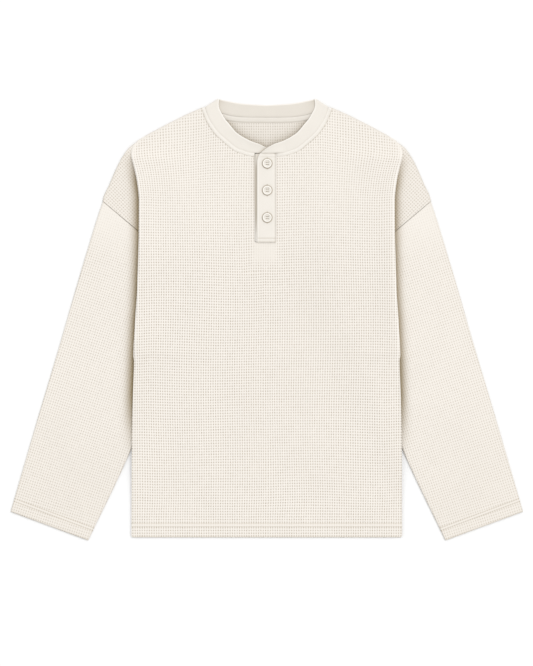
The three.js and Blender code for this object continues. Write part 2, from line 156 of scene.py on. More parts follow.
def curve(table, at):
    """A table of pairs, read at many places."""
    table = np.asarray(table, float)
    return pchip(table[:, 0], table[:, 1], at)


def bell(value, middle, width):
    """A smooth bump that is 1 at the middle."""
    return np.exp(-(((value - middle) / width) ** 2))


def smooth(t):
    """0 up to t = 0, 1 from t = 1 on, and soft between."""
    c = np.clip(t, 0, 1)
    return c * c * (3 - 2 * c)


def shoulder(x):
    """The shoulder line's height at a half width."""
    return curve(SHOULDER_LINE, np.abs(x))


def sleeve_inner_at(y):
    """Half width of the sleeve's inner edge at a height."""
    (top, emerges, cuff) = SLEEVE_INNER
    start, end = (top, emerges) if y > emerges[1] else (emerges, cuff)
    return start[0] + (end[0] - start[0]) * (y - start[1]) / (end[1] - start[1])


def loft(x, y):
    """How far the front stands above its lying height, round the neck and down the placket."""
    rise = smooth((y - 430) / 180)
    fall = 1 - smooth((y - 655) / 45)
    aside = 1 - smooth((np.abs(x) - 70) / 60)
    return PLACKET_LOFT * rise * fall * aside


def round_in(distance, radius):
    """Share of the full thickness that is left at a distance from a rounded edge."""
    t = 1 - np.clip(distance / radius, 0, 1)
    return np.sqrt(1 - t * t)


# The body's folded path
STRETCHES = np.linspace(3, 7, 81)


def path_facts(row):
    """Where a row turns under, its slope up to there, and its course from there as offsets at STRETCHES."""
    under, over, bend = row.get("under", 0), row.get("over", 0), row.get("bend", 0)
    turns = [under * math.pi, 0, -over * math.pi, 0]
    lengths = [max(s, FOLD_RADIUS * abs(t)) for s, t in zip(SHORTEST_FOLDED, turns)]
    hidden_last = lengths[2] + lengths[3]
    fold = row.get("fold") or float(curve(SIDE_FOLD, row["y"]))
    nose = (FOLD_RADIUS + HALF_PAIR) * math.sin(min(turns[0], math.pi / 2))
    turn_x = fold - (nose if under > 0 else lengths[0] + lengths[1] + hidden_last)
    twice, closed = over > 0, under == 1
    if closed:
        tuck = float(curve(INNER_FOLD if twice else HIDDEN_SIDE, row["y"]))
        lengths[1] = max(lengths[1], turn_x - tuck - (0 if twice else hidden_last))

    def walk(distance):
        x = fall = angle = 0.0
        for turn, length in zip(turns, lengths):
            run = min(distance, length)
            after = angle + turn * run / length
            if turn == 0:
                x += run * math.cos(angle)
                fall += run * math.sin(angle)
            else:
                radius = length / turn
                x += radius * (math.sin(after) - math.sin(angle))
                fall += radius * (math.cos(angle) - math.cos(after))
            angle = after
            distance -= run
            if distance <= 0:
                break
        return x, fall, angle

    if over == 1 or "end" in row:
        end = row.get("end") or float(np.interp(row["y"], *np.transpose(CAP_EDGE)))
        lengths[3] = max(lengths[3], end - turn_x - walk(sum(lengths[:3]))[0])
    whole = walk(sum(lengths))
    hang = LAYER if closed else whole[1] - HALF_PAIR * (1 - math.cos(whole[2]))
    rise = whole[1] if bend > 0 else LAYER + hang + row.get("held", 0)
    if twice or bend > 0:
        ramp_x = turn_x - (lengths[1] if closed else 0) - RAMP_CLEAR
    else:
        ramp_x = sleeve_inner_at(row["y"]) - RAMP_CLEAR
    slope = min(float(np.interp(row["y"], *np.transpose(SLOPES))), ramp_x)
    marks = np.concatenate([[0], np.cumsum(lengths)])
    run = np.interp(STRETCHES, np.arange(3, 8), marks)
    course = [(s, *walk(s)) for s in run]
    default_end = float(curve(CAP_EDGE, row["y"])) if twice else turn_x + whole[0]
    facts = [turn_x, ramp_x, slope, rise, bend, row.get("end", default_end)]
    return facts, course


ROW_Y = [row["y"] for row in ROWS]
_facts = [path_facts(row) for row in ROWS]
DENSE_R = np.linspace(0, LAST_ROW, 3300)
DENSE = pchip(ROW_Y, [facts for facts, _ in _facts], DENSE_R)
COURSES = np.array([course for _, course in _facts])
TURN, RAMP, SLOPE, RISE, BEND, END = range(6)

# The slope up to the folded layers changes softly from row to row
SOFTEN = 22
_kernel = np.exp(-0.5 * (np.arange(-3 * SOFTEN, 3 * SOFTEN + 0.1, DENSE_R[1]) / SOFTEN) ** 2)
for _column in (RAMP, SLOPE):
    _edges = np.pad(DENSE[:, _column], len(_kernel) // 2, mode="edge")
    DENSE[:, _column] = np.convolve(_edges, _kernel / _kernel.sum(), "valid")[: len(DENSE_R)]


def fact(which, r):
    """One of the path's facts at rows r."""
    return np.interp(r, DENSE_R, DENSE[:, which])


def bent(x, r):
    """How far a row near the shoulder rises or falls at a half width."""
    return fact(BEND, r) * (shoulder(x) - shoulder(fact(END, r)))


def row_at(x, y):
    """The row that passes through a place seen from above. Above the first bent row it is searched for."""
    x, y = np.broadcast_arrays(np.asarray(x, float), np.asarray(y, float))
    low = np.full(x.shape, BENT_FROM)
    high = np.full(x.shape, LAST_ROW)
    for _ in range(24):
        middle = (low + high) / 2
        above = middle + bent(x, middle) > y
        high = np.where(above, middle, high)
        low = np.where(above, low, middle)
    return np.where(y <= BENT_FROM, y, (low + high) / 2)


def top_height(x, r):
    """Height of the path between front and back, up to where it turns under."""
    x = np.abs(x)
    climb = smooth((x - fact(RAMP, r)) / np.maximum(fact(SLOPE, r), 1) + 1)
    return HALF_PAIR + fact(RISE, r) * climb


def puff(x, r):
    """How far the front swells where it rolls over its side fold."""
    along = smooth((r - 262) / 70) * (1 - smooth((r - 560) / 70))
    beside = np.exp(-(((fact(TURN, r) - np.abs(x)) / PUFF_WIDTH) ** 2))
    return PUFF * along * beside


def front_top(x, y):
    """Height of the front's outer face at a place seen from above, without the relief of the knit."""
    r = row_at(x, y)
    return top_height(x, r) + loft(x, y) + puff(x, r) + HALF_PAIR


# Width and depth of the shade beside each side fold, less on the side nearer the light
FOLD_SHADE = {1: (9.0, 0.68), -1: (10.5, 0.8)}


def fold_shade(x, y, hand):
    """Shade on the cap and sleeve close beside the body's side fold."""
    beside = np.maximum(np.abs(x) - curve(SIDE_FOLD, np.minimum(y, 612)), 0)
    along = smooth((y - 120) / 120) * (1 - smooth((y - 566) / 64))
    width, depth = FOLD_SHADE[hand]
    return along * (0.2 * np.exp(-beside / 2.2) + depth * bell(beside, 0, width))


def rim_light(x, r):
    """The paler rolled edge of the front beside its side fold, as a negative shade."""
    beside = np.maximum(fact(TURN, r) + 2 - np.abs(x), 0)
    return -0.3 * bell(beside, 0, 3.0) * smooth((r - 230) / 60) * (1 - smooth((r - 585) / 30))


# Meshes
def place(points):
    """Garment millimetres to frame metres."""
    out = np.asarray(points, float) * MM
    out[..., 1] += HEM_Y
    return out


def add_object(name, data):
    made = bpy.data.objects.new(name, data)
    bpy.context.scene.collection.objects.link(made)
    return made


def store(mesh, label, values):
    """Keeps a value for each point of a mesh, for its material to read."""
    layer = mesh.attributes.new(label, "FLOAT", "POINT")
    layer.data.foreach_set("value", np.asarray(values, np.float32).ravel())


def quads_of(index, ring=False):
    """Four-sided faces between the rows of a grid of point numbers, closed across if it is a ring."""
    if ring:
        index = np.concatenate([index, index[:, :1]], 1)
    return np.stack([index[:-1, :-1], index[:-1, 1:], index[1:, 1:], index[1:, :-1]], -1)


class Cloth:
    """Collects grids of points into one mesh, with the waffle's coordinates and how strong it is there."""

    def __init__(self):
        self.points, self.weave, self.bake, self.faces = [], [], [], []
        self.amount, self.shade = [], []
        self.count = 0

    def add(self, points, weave, amount, shade, bake, ring=False, keep=None):
        rows, columns = points.shape[:2]
        index = np.arange(rows * columns).reshape(rows, columns) + self.count
        quads = quads_of(index, ring)
        quads = quads.reshape(-1, 4) if keep is None else quads[keep]
        self.points.append(points.reshape(-1, 3))
        self.weave.append(weave.reshape(-1, 2))
        self.bake.append(bake.reshape(-1, 2))
        for kept, values in ((self.amount, amount), (self.shade, shade)):
            kept.append(np.broadcast_to(values, (rows, columns)).reshape(-1))
        self.faces.append(quads)
        self.count += rows * columns

    def build(self, name, material):
        points, faces = np.concatenate(self.points), np.concatenate(self.faces)
        corners = points[faces]
        spans = [np.linalg.norm(corners[:, i] - corners[:, i - 2], axis=1) for i in (2, 3)]
        faces = faces[np.minimum(*spans) > 0.02]
        mesh = bpy.data.meshes.new(name)
        mesh.vertices.add(len(points))
        mesh.vertices.foreach_set("co", place(points).ravel())
        mesh.loops.add(faces.size)
        mesh.loops.foreach_set("vertex_index", faces.ravel().astype(np.int32))
        mesh.polygons.add(len(faces))
        mesh.polygons.foreach_set("loop_start", np.arange(0, faces.size, 4, dtype=np.int32))
        mesh.update(calc_edges=True)
        for label, source in (("OFBake", self.bake), ("weave", self.weave)):
            layer = mesh.uv_layers.new(name=label)
            layer.data.foreach_set("uv", np.concatenate(source)[faces.ravel()].ravel())
        for label, source in (("waffle", self.amount), ("shade", self.shade)):
            store(mesh, label, np.concatenate(source))
        return finish_piece(name, mesh, material, weld=True)


def finish_piece(name, mesh, material, weld=False, sharp=None):
    """Makes the object, welds what coincides and shades it smoothly, but for edges sharper than an angle."""
    if weld:
        bm = bmesh.new()
        bm.from_mesh(mesh)
        bmesh.ops.remove_doubles(bm, verts=bm.verts, dist=2e-6)
        loose = [v for v in bm.verts if not v.link_faces]
        bmesh.ops.delete(bm, geom=loose, context="VERTS")
        bm.to_mesh(mesh)
        bm.free()
    mesh.polygons.foreach_set("use_smooth", [True] * len(mesh.polygons))
    if sharp:
        mesh.set_sharp_from_angle(angle=math.radians(sharp))
    mesh.materials.append(material)
    mesh.update()
    return add_object(name, mesh)


def relief(weave, amount):
    """Depth of the knit below its ridges: ridges run along both directions, the upright ones higher."""
    column = 0.5 + 0.5 * np.cos(2 * np.pi * weave[..., 0])
    row = 0.5 + 0.5 * np.cos(2 * np.pi * weave[..., 1])
    return -PIT_DEPTH * (1 - column) * (1 - 0.65 * row) * amount


def stitch_relief(distance):
    """Two sewn lines press into the hem and the cloth between them stands up, by distance from its edge."""
    low, high = STITCH_ROWS
    lines = bell(distance, low, 0.7) + bell(distance, high, 0.7)
    between = smooth((distance - low) / 1.2) * smooth((high - distance) / 1.2)
    return 0.2 * between - 0.35 * lines


def stitch_shade(distance, weave):
    """Painted shade in the two sewn lines, strongest where they dip between the upright ridges."""
    low, high = STITCH_ROWS
    lines = bell(distance, low, 0.75) + bell(distance, high, 0.75)
    return lines * (0.36 - 0.22 * np.cos(2 * np.pi * weave[..., 0]))


def edge_shade(distance):
    """The slight painted shade along a turned edge."""
    return 0.42 * np.exp(-distance / 1.1)


# Front and back
HEM_TURN = [
    (HEM_WIDTH, 0.15), (13, 0.15), (6, 0.15), (1.2, 0.15), (0.35, 0.4),
    (0, 0.9), (0.3, 1.35), (1.1, 1.65),
]
TOP_EDGE = [1.65, 0.8, 0.25, 0]
STITCHED = [16.4, 17.0, 17.5, 18.0, 18.7, 19.8, 20.8, 21.5, 22.0, 22.5, 23.2]
EDGE_CLEAR = 2.0
SIDE_ROLL = 1.65
STITCH_ROWS = (17.5, 22)


def neck_seam(side):
    """The neckline's height at a half width, out to the shoulder."""
    table = [p[:2] for p in (FRONT_BAND if side > 0 else reversed(BACK_BAND))]
    return table + [SHOULDER_BAND[:2]]


def body_top(x, side):
    seam = neck_seam(side)
    x = np.abs(x)
    return np.where(x < seam[-1][0], curve(seam, x), shoulder(x))


def waffle_amount(x, y, side):
    """Where the knit lies flatter: beside seams and stitching, and below the placket."""
    seam = body_top(x, side) - y - (2.2 if side < 0 else 0)
    beside_tape = np.abs(x) < SHOULDER_BAND[0]
    amount = np.where(beside_tape, smooth((seam - 5.6) / 2.6), smooth(seam / 5 - 0.1) * 0.9 + 0.1)
    amount = amount * (1 - 0.85 * smooth((y - 16) / 1.5) * smooth((23.5 - y) / 1.5))
    amount = amount * (0.94 - 0.17 * smooth((y - 400) / 150))
    if side > 0:
        inside = smooth((x + 28) / 12) * smooth((21 - x) / 12)
        below = smooth((y - 436) / 22) * smooth((481 - y) / 2)
        amount = amount * (1 - 0.75 * inside * below)
    else:
        amount = amount * (1 - 0.1 * smooth((y - 610) / 15) * beside_tape)
    return amount


BAKE_REACH = 345
BAKE_HEIGHT = 705
CAP_FROM_Y = 486
CAP_ROW = 1.25


def build_panel(name, side, material):
    """The front (side 1) or the back (side -1) with its folded sides and caps, as one sheet's outer face."""
    cloth = Cloth()
    half = int(216 / (CELL_W / 2)) + 1
    columns = np.arange(-half, half + 1) * CELL_W / 2
    regular = np.arange(1, int(700 / (CELL_H / 2)) + 1) * CELL_H / 2
    regular = regular[regular > 1.6]
    plain = (regular < STITCHED[0] - 0.4) | (regular > STITCHED[-1] + 0.4)
    regular = np.sort(np.concatenate([regular[plain], STITCHED]))
    hem = np.array(HEM_TURN)

    # The edge where the top turns under, as a row for each height
    boundary_r = np.linspace(0, LAST_ROW, 3000)
    boundary_x = fact(TURN, boundary_r)
    boundary_y = boundary_r + bent(boundary_x, boundary_r)

    last_x = fact(TURN, LAST_ROW)
    count = len(hem) + len(regular) + len(TOP_EDGE)

    first, last = len(hem), len(hem) + len(regular)

    def heights(x):
        """Heights of the grid's rows at half widths that are given for each row and column."""
        top = body_top(x, side)
        dropped = regular[:, None] - yoke_drop(x[first:last], regular[:, None])
        limited = np.minimum(dropped, top[first:last] - EDGE_CLEAR)
        edge = top[last:] - np.array(TOP_EDGE)[:, None]
        return np.concatenate([np.repeat(hem[:, :1], x.shape[1], 1), limited, edge])

    edge_x = np.full(count, last_x)
    for _ in range(5):
        edge_y = heights(edge_x[:, None])[:, 0]
        edge_r = np.interp(np.minimum(edge_y, boundary_y[-1]), boundary_y, boundary_r)
        edge_x = (edge_x + fact(TURN, edge_r)) / 2
    edge_x = fact(TURN, edge_r)

    flare = np.maximum(0, fact(TURN, np.minimum(edge_r, 619)) - fact(TURN, 548)) * (edge_r > 548)
    spread = flare[:, None] * smooth((np.abs(columns) - 95) / 105)[None, :] * np.sign(columns)
    columns_at = columns[None, :] + spread
    x = np.clip(columns_at, -edge_x[:, None], edge_x[:, None])
    y = heights(x)
    top_here = body_top(x, side)
    outside = np.abs(columns_at) >= edge_x[:, None]
    y = np.where(outside, np.minimum(edge_y[:, None], y.max()), y)
    r = np.where(outside, edge_r[:, None], row_at(x, y))
    grid_y = np.concatenate([hem[:, 0], regular, np.full(len(TOP_EDGE), regular[-1])])
    weave = np.stack(np.broadcast_arrays(columns[None, :] / CELL_W, grid_y[:, None] / CELL_H), -1)
    edge_weave = np.stack([(x - flare[:, None] * np.sign(x)) / CELL_W, grid_y[:, None] / CELL_H + 0 * x], -1)
    weave = np.where(outside[..., None], edge_weave, weave)
    amount = waffle_amount(x, y, side)
    amount *= 1 - 0.8 * smooth((r - 608) / 10) * np.exp(-(((fact(TURN, r) - np.abs(x)) / 3) ** 2))
    amount[: len(hem) - 2] = 0
    off = np.full(x.shape, HALF_PAIR)
    off[: len(hem)] = hem[:, 1:]
    over_shoulder = np.abs(x) > SHOULDER_BAND[0] - 1
    off *= np.where(over_shoulder, round_in(top_here - y, SIDE_ROLL), 1)
    off[len(hem):] += (relief(weave, amount) + stitch_relief(y))[len(hem):]
    shade = stitch_shade(y, weave) * (np.arange(count) >= len(hem))[:, None]
    shade = shade + edge_shade(y) + edge_shade(top_here - y) * over_shoulder
    x, y = wobble(x, y, fact(TURN, r) - np.abs(x), top_here - y)

    keep = None
    if side > 0:
        near_left = (np.abs(x - SLIT_LEFT) < CELL_W / 4 + 0.01) & (y > SLIT_END - CELL_H / 3)
        near_right = (np.abs(x - SLIT_RIGHT) < CELL_W / 4 + 0.01) & (y > SLIT_END - CELL_H / 3)
        x = np.where(near_left, SLIT_LEFT, np.where(near_right, SLIT_RIGHT, x))
        across = (x >= SLIT_LEFT) & (x <= SLIT_RIGHT)
        y = np.where(across & (np.abs(y - SLIT_END) < CELL_H / 4 + 0.01), SLIT_END, y)
        mid_x = (x[:-1, :-1] + x[1:, 1:]) / 2
        mid_y = (y[:-1, :-1] + y[1:, 1:]) / 2
        keep = ~((mid_x > SLIT_LEFT) & (mid_x < SLIT_RIGHT) & (mid_y > SLIT_END))
    shade = shade + (placket_shade(x, y) + rim_light(x, r) if side > 0 else neck_shade(x, y))
    z = top_height(x, r) + side * off
    if side > 0:
        z = z + loft(x, y) + puff(x, r) - placket_dip(x, y)
    corner = hem_corner(x, y)
    bake = np.stack([0.5 + x / (2 * BAKE_REACH), y / BAKE_HEIGHT], -1)
    cloth.add(np.stack([x - corner, y, z], -1), weave, amount, shade, bake, keep=keep)

    # Round the side fold, along the hidden layers and out to the cap
    courses = pchip(ROW_Y, COURSES, edge_r)
    cap_start = np.array([cap_from(c, t) for c, t in zip(courses, edge_x)])
    nose = 3 + np.arange(9) / 8
    hidden = np.array([4.35, 4.7, 5, 5.25, 5.5, 5.75, 6])
    flat = 6 + np.array([0.3, 0.6, 0.8, 0.93, 1])
    shares = np.tile(np.concatenate([nose, hidden, flat]), (count, 1))
    tail = cap_start < 7
    shares[tail, -5:] = 6 + (cap_start[tail, None] - 6) * np.array([0.2, 0.4, 0.6, 0.8, 1])
    offs = np.concatenate([hem[:, 1], np.full(count - len(hem), HALF_PAIR)])
    grain = (flare / CELL_W, grid_y / CELL_H)
    add_course(cloth, side, edge_r, edge_x, shares, courses, offs, len(hem), grain)

    # The cap, where it shows beside the fold
    below, above = np.arange(CAP_FROM_Y, ARMHOLE_TOP, CAP_ROW), np.arange(ARMHOLE_TOP, LAST_ROW, CAP_ROW)
    fine = np.concatenate([below, above, [LAST_ROW]])
    fine_x = fact(TURN, fine)
    fine_courses = pchip(ROW_Y, COURSES, fine)
    start = np.array([cap_from(c, t) for c, t in zip(fine_courses, fine_x)])
    steps = np.concatenate([np.linspace(0, 0.94, 50), [0.952, 0.963, 0.972, 0.98, 0.987, 0.994, 1]])
    shares = start[:, None] + (7 - start[:, None]) * steps
    add_course(cloth, side, fine, fine_x, shares, fine_courses, np.full(len(fine), HALF_PAIR), 0, cap=True)
    return cloth.build(name, material)


def yoke_drop(x, y):
    """How far the knit's rows fall away towards the shoulders."""
    return math.tan(math.radians(7)) * np.maximum(np.abs(x) - 90, 0) * smooth((y - 540) / 90)


def wobble(x, y, from_side, from_top):
    """The knit's grain wanders a little, but not at seams and edges."""
    calm = smooth(from_side / 30) * smooth((y - 26) / 40) * smooth((from_top - 3) / 30)
    calm = calm * smooth((np.abs(x + 2.5) - 17) / 22 + (y < 430))
    across = 0.9 * np.sin(y / 47 + 0.9 * np.sin(x / 61)) + 0.5 * np.sin(x / 33 + y / 83)
    along = 1.1 * np.sin(x / 52 + 0.8 * np.sin(y / 77)) + 0.5 * np.sin(x / 29 - y / 64)
    return x + across * calm, y + along * calm


def placket_shade(x, y):
    """Shade on the front where it dips under the placket's free edge, and along its sewn edges."""
    left = np.where(x < 0, SLIT_LEFT - x, 99)
    along = smooth((y - 486) / 50) * 0.8 + 0.2 * smooth((y - 478) / 8)
    right = np.where(x > 0, x - SLIT_RIGHT, 99)
    beside = smooth((y - 474) / 6)
    seam = bell(right, 0, 1.1) * 0.06 * beside
    inside = smooth((x + 28) / 12) * smooth((21 - x) / 12)
    seam = seam + 0.07 * inside * smooth((y - 436) / 22) * smooth((481 - y) / 2)
    return np.exp(-np.maximum(left, 0) / 1.6) * along * beside * 0.3 * smooth((y - 500) / 60) + seam


def placket_dip(x, y):
    """How far the left front sinks towards the edge that lies under the placket."""
    left = np.where(x < 0, np.maximum(SLIT_LEFT - x, 0), 99)
    upper = smooth((y - 500) / 75)
    depth = (0.2 + 0.8 * upper) * smooth((y - 480) / 15) * (1 - 0.75 * smooth((y - 590) / 25))
    return depth * np.exp(-((left / (1.8 + 3.2 * upper)) ** 2))


def neck_shade(x, y):
    """Shade on the inside of the back, deepest close to the front's neckband."""
    inside = (y > 596) & (np.abs(x) < 100)
    shade = np.zeros(x.shape)
    line = spline([p[2:] for p in (*FRONT_BAND, SHOULDER_BAND)], 8)
    points = np.stack([np.abs(x[inside]), y[inside]], -1)
    nearest = np.full(len(points), 1e9)
    for p in line:
        nearest = np.minimum(nearest, ((points - p) ** 2).sum(-1))
    distance = np.sqrt(nearest)
    shade[inside] = 0.09 + 0.32 * np.exp(-distance / 3) + 0.15 * bell(distance, 0, 11)
    return shade


CAP_FROM_X = 202.5


def cap_from(course, turn_x):
    """The place on the last stretch where the cap comes out from under the fold."""
    last = STRETCHES >= 6
    reach = turn_x + course[last, 1]
    if reach[-1] <= CAP_FROM_X + 2 or course[-1, 3] > 0.5:
        return 7.0
    return float(np.clip(np.interp(CAP_FROM_X, reach, STRETCHES[last]), 6.05, 7))


def hem_corner(x, y):
    """How far the hem's corners are rounded in."""
    radius = 3.5
    t = np.clip(1 - np.clip(y, 0, radius) / radius, 0, 1)
    reach = radius * (1 - np.sqrt(1 - t * t)) * smooth((np.abs(x) - 205) / 14)
    return np.sign(x) * reach


def add_course(cloth, side, rows, turn_x, shares, courses, offs, hem_rows, grain=None, cap=False):
    """Adds both hands of a part of the panel that follows the path past its turn."""
    shape = shares.shape
    run, dx, fall, angle = (
        np.array([np.interp(s, STRETCHES, c[:, k]) for s, c in zip(shares, courses)]) for k in range(4)
    )
    total = courses[:, -1, 0][:, None]
    r = np.broadcast_to(rows[:, None], shape)
    x_path = turn_x[:, None] + dx
    z_path = top_height(turn_x, rows)[:, None] - fall
    # The armhole seam is straight, so the last stretch is stretched to meet it
    straight = np.interp(rows, *np.transpose(CAP_EDGE[:3]))
    at_armhole = (rows > CAP_EDGE[0][0]) & (rows < ARMHOLE_TOP)
    miss = np.where(at_armhole, straight - turn_x - courses[:, -1, 1], 0)
    x_path = x_path + miss[:, None] * smooth(shares - 6)
    end = fact(END, r)
    y_path = r + fact(BEND, r) * (shoulder(np.minimum(x_path, end)) - shoulder(end))
    top_gap = LAST_ROW - r
    past_armhole = smooth((r - (ARMHOLE_TOP - 3)) / 3) + (r < 404)
    from_end = total - run
    roll = np.where(past_armhole > 0.5, round_in(from_end, SIDE_ROLL), 0.6 + 0.4 * round_in(from_end, 1.6))
    for hand in (-1, 1):
        s = turn_x[:, None] + run
        if cap:
            u = (x_path * math.cos(CAP_GRAIN) - y_path * math.sin(CAP_GRAIN)) / CELL_W
            v = (x_path * math.sin(CAP_GRAIN) + y_path * math.cos(CAP_GRAIN)) / CELL_H
            amount = 0.15 + 0.45 * smooth((from_end - 0.5) / 2.5)
            amount = amount * (1 - smooth((r - 608) / 10) * (1 - smooth((x_path - 208) / 7)))
            # The cap is a little darker all over, with painted shade beside the side fold, along the armhole
            # seam and, past the armhole, along its turned edge.
            shade = 0.06 + fold_shade(x_path, y_path, hand)
            armhole = smooth((ARMHOLE_TOP - r) / 6)
            shade = shade + armhole * 0.22 * bell(from_end, 0, 1.0)
            shade = shade + (1 - armhole) * edge_shade(from_end)
        else:
            u, v = s / CELL_W - grain[0][:, None], y_path * 0 + grain[1][:, None]
            amount = waffle_amount(x_path, np.minimum(y_path, 600), -1) * (1 - 0.7 * smooth((r - 608) / 10))
            shade = edge_shade(y_path) + stitch_shade(y_path, np.stack([u, v], -1))
            if side > 0:
                shade = shade + rim_light(turn_x, rows)[:, None] * (shares < 3.6)
        amount = amount * (0.4 + 0.6 * smooth(top_gap / 4))
        weave = np.stack([hand * u, v], -1)
        amount[:hem_rows] = 0
        off = np.repeat(offs[:, None], shape[1], 1) * roll
        off = off * round_in(top_gap, SIDE_ROLL)
        off[hem_rows:] += (relief(weave, amount) * roll)[hem_rows:]
        if cap:
            off = off + 0.3 * armhole * bell(from_end, 2.6, 1.6)
        else:
            off[hem_rows:] += (stitch_relief(y_path) * roll)[hem_rows:]
        d = side * off
        swell = 0 if side < 0 or cap else puff(turn_x, rows)[:, None] * (1 - smooth(shares - 3))
        x = x_path + np.sin(angle) * d
        z = z_path + np.cos(angle) * d + swell
        x = x - hem_corner(x, y_path)
        points = np.stack([hand * x, y_path, z], -1)
        bake = np.stack([0.5 + hand * s / (2 * BAKE_REACH), r / BAKE_HEIGHT], -1)
        grids = (points, weave, amount, shade, bake)
        if hand < 0:
            grids = (a[:, ::-1] for a in grids)
        cloth.add(*grids)


# Sleeves
CUFF_TURN = HEM_TURN[::-1]
SLEEVE_EDGE = [0, 0.12, 0.45, 1.0, 1.65, 2.3]


def build_sleeve(name, hand, material):
    """A sleeve's tube lying flat, as rings that run from the armhole to the turned cuff."""
    down = np.array([math.sin(SLEEVE_GRAIN), -math.cos(SLEEVE_GRAIN)])
    out = np.array([math.cos(SLEEVE_GRAIN), math.sin(SLEEVE_GRAIN)])
    origin = np.array(SLEEVE_OUTER[0])

    def local(points):
        rel = np.asarray(points, float) - origin
        return np.stack([rel @ down, rel @ out], -1)

    outer, inner = local(SLEEVE_OUTER), local(SLEEVE_INNER)
    armhole, cuff_in, cuff_out = inner[0], inner[-1], outer[-1]

    def a_out(b):
        return pchip(outer[:, 0], outer[:, 1], b) + np.minimum(cuff_out[0] - b, 0) * 0.01

    def a_in(b):
        return pchip(inner[:, 0], inner[:, 1], b)

    def b_first(a):
        return np.maximum(0, armhole[0] * a / armhole[1]) + GAP

    def b_last(a):
        share = (cuff_out[1] - a) / (cuff_out[1] - cuff_in[1])
        return cuff_out[0] + (cuff_in[0] - cuff_out[0]) * share

    starts = np.array([0, 0.35, 1.0, 1.9])
    regular = np.arange(1, int(535 / (CELL_H / 2))) * CELL_H / 2
    ends = np.array(CUFF_TURN)
    stitched = np.array(STITCHED[::-1])
    below = np.arange(STITCHED[0] - CELL_H / 2, 2, -CELL_H / 2)
    middle = np.arange(int(-190 / (CELL_W / 2)), 1)[::-1] * CELL_W / 2
    edge = np.array(SLEEVE_EDGE)

    def section(b_of):
        """The ring of across positions for rows whose along positions come from b_of."""
        b = b_of(np.full(1, -90.0))[:, 0]
        high, low = a_out(b)[:, None], a_in(b)[:, None]
        inside = np.clip(middle[None, :], low + 2.6, high - 2.6)
        first = high - edge
        last = low + edge[::-1]
        return np.concatenate([first, inside, last], 1)

    def rows(a):
        begin, finish = b_first(a), b_last(a)
        low = np.stack([begin + s for s in starts])
        body = np.clip(regular.reshape((-1,) + (1,) * a.ndim), begin + 2.4, finish - stitched[0] - 0.4)
        sewn = np.stack([finish - e for e in stitched])
        hemmed = np.stack([finish - e for e in below])
        turn = np.stack([finish - e[0] for e in ends])
        return np.concatenate([low, body, sewn, hemmed, turn])

    a = section(rows)
    for _ in range(3):
        b = np.take_along_axis(
            np.stack([rows(a[i]) for i in range(len(a))]), np.arange(len(a))[:, None, None], 1
        )[:, 0]
        high, low = a_out(b), a_in(b)
        k, m = len(edge), a.shape[1]
        a[:, :k] = high[:, :k] - edge
        a[:, -k:] = low[:, -k:] + edge[::-1]
        a[:, k:m - k] = np.clip(middle[None, :], low[:, k:m - k] + 2.6, high[:, k:m - k] - 2.6)

    distance = np.minimum(a_out(b) - a, a - a_in(b))
    swell = round_in(distance, HALF_PAIR)
    full = np.full(len(a), HALF_PAIR)
    full[: len(starts)] = [1.35, 1.5, 1.6, 1.65]
    full[-len(ends):] = ends[:, 1]
    from_cuff = b_last(a) - b
    from_seam = b - b_first(a)
    amount = 0.18 + 0.42 * smooth(from_seam / 100 - a / 150 - 0.1)
    amount = amount * (1 - 0.85 * smooth((from_cuff - 16) / 1.5) * smooth((23.5 - from_cuff) / 1.5))
    amount[-len(ends) + 1:] = 0

    cloth = Cloth()
    faces = []
    for face in (1, -1):
        weave = np.stack([a / CELL_W, b / CELL_H], -1)
        outside = full[:, None] > 1
        off = full[:, None] + (relief(weave, amount) + stitch_relief(from_cuff)) * outside
        z = HALF_PAIR + face * off * swell
        flat = origin + b[..., None] * down + a[..., None] * out
        # Painted shade in the cuff's sewn lines and along its turned edge, along the armhole seam and the flat
        # edges, a little more towards the cuff, and beside the body's side fold on the upper face.
        shade = stitch_shade(from_cuff, weave) * outside + edge_shade(np.abs(from_cuff))
        shade = shade + 0.2 * bell(from_seam, 0, 1.0) + 0.5 * edge_shade(distance)
        shade = shade + 0.02 + 0.04 * smooth((b - 250) / 250)
        if face > 0:
            shade = shade + fold_shade(flat[..., 0], flat[..., 1], hand)
        p = np.stack([hand * flat[..., 0], flat[..., 1], z], -1)
        bake = np.stack([(face * (a + 200) / 420 + 1) / 2, b / 540], -1)
        w = np.stack([hand * weave[..., 0], weave[..., 1]], -1)
        grids = [p, w, amount, shade, bake]
        if face < 0:
            grids = [g[:, ::-1][:, 1:-1] for g in grids]
        faces.append(grids)
    cloth.add(*(np.concatenate(pair, 1) for pair in zip(*faces)), ring=True)
    return cloth.build(name, material)


# Materials
def nodes_of(name):
    """A new material with its node tree and shader."""
    material = bpy.data.materials.new(name)
    material.use_nodes = True
    tree = material.node_tree
    shader = tree.nodes["Principled BSDF"]
    return material, tree, shader


def math_node(tree, operation, a, b=None):
    node = tree.nodes.new("ShaderNodeMath")
    node.operation = operation
    for socket, value in zip(node.inputs, (a, b)):
        if value is None:
            continue
        if isinstance(value, (int, float)):
            socket.default_value = value
        else:
            tree.links.new(value, socket)
    return node.outputs[0]


def mix_colour(tree, factor, a, b):
    node = tree.nodes.new("ShaderNodeMix")
    node.data_type = "RGBA"
    for socket, value in ((node.inputs[0], factor), (node.inputs[6], a), (node.inputs[7], b)):
        if isinstance(value, (int, float)):
            socket.default_value = value
        elif isinstance(value, tuple):
            socket.default_value = (*value, 1)
        else:
            tree.links.new(value, socket)
    return node.outputs[2]


def noise(tree, vector, scale, detail=2.0):
    node = tree.nodes.new("ShaderNodeTexNoise")
    node.inputs["Scale"].default_value = scale
    node.inputs["Detail"].default_value = detail
    tree.links.new(vector, node.inputs["Vector"])
    return node.outputs["Fac"]


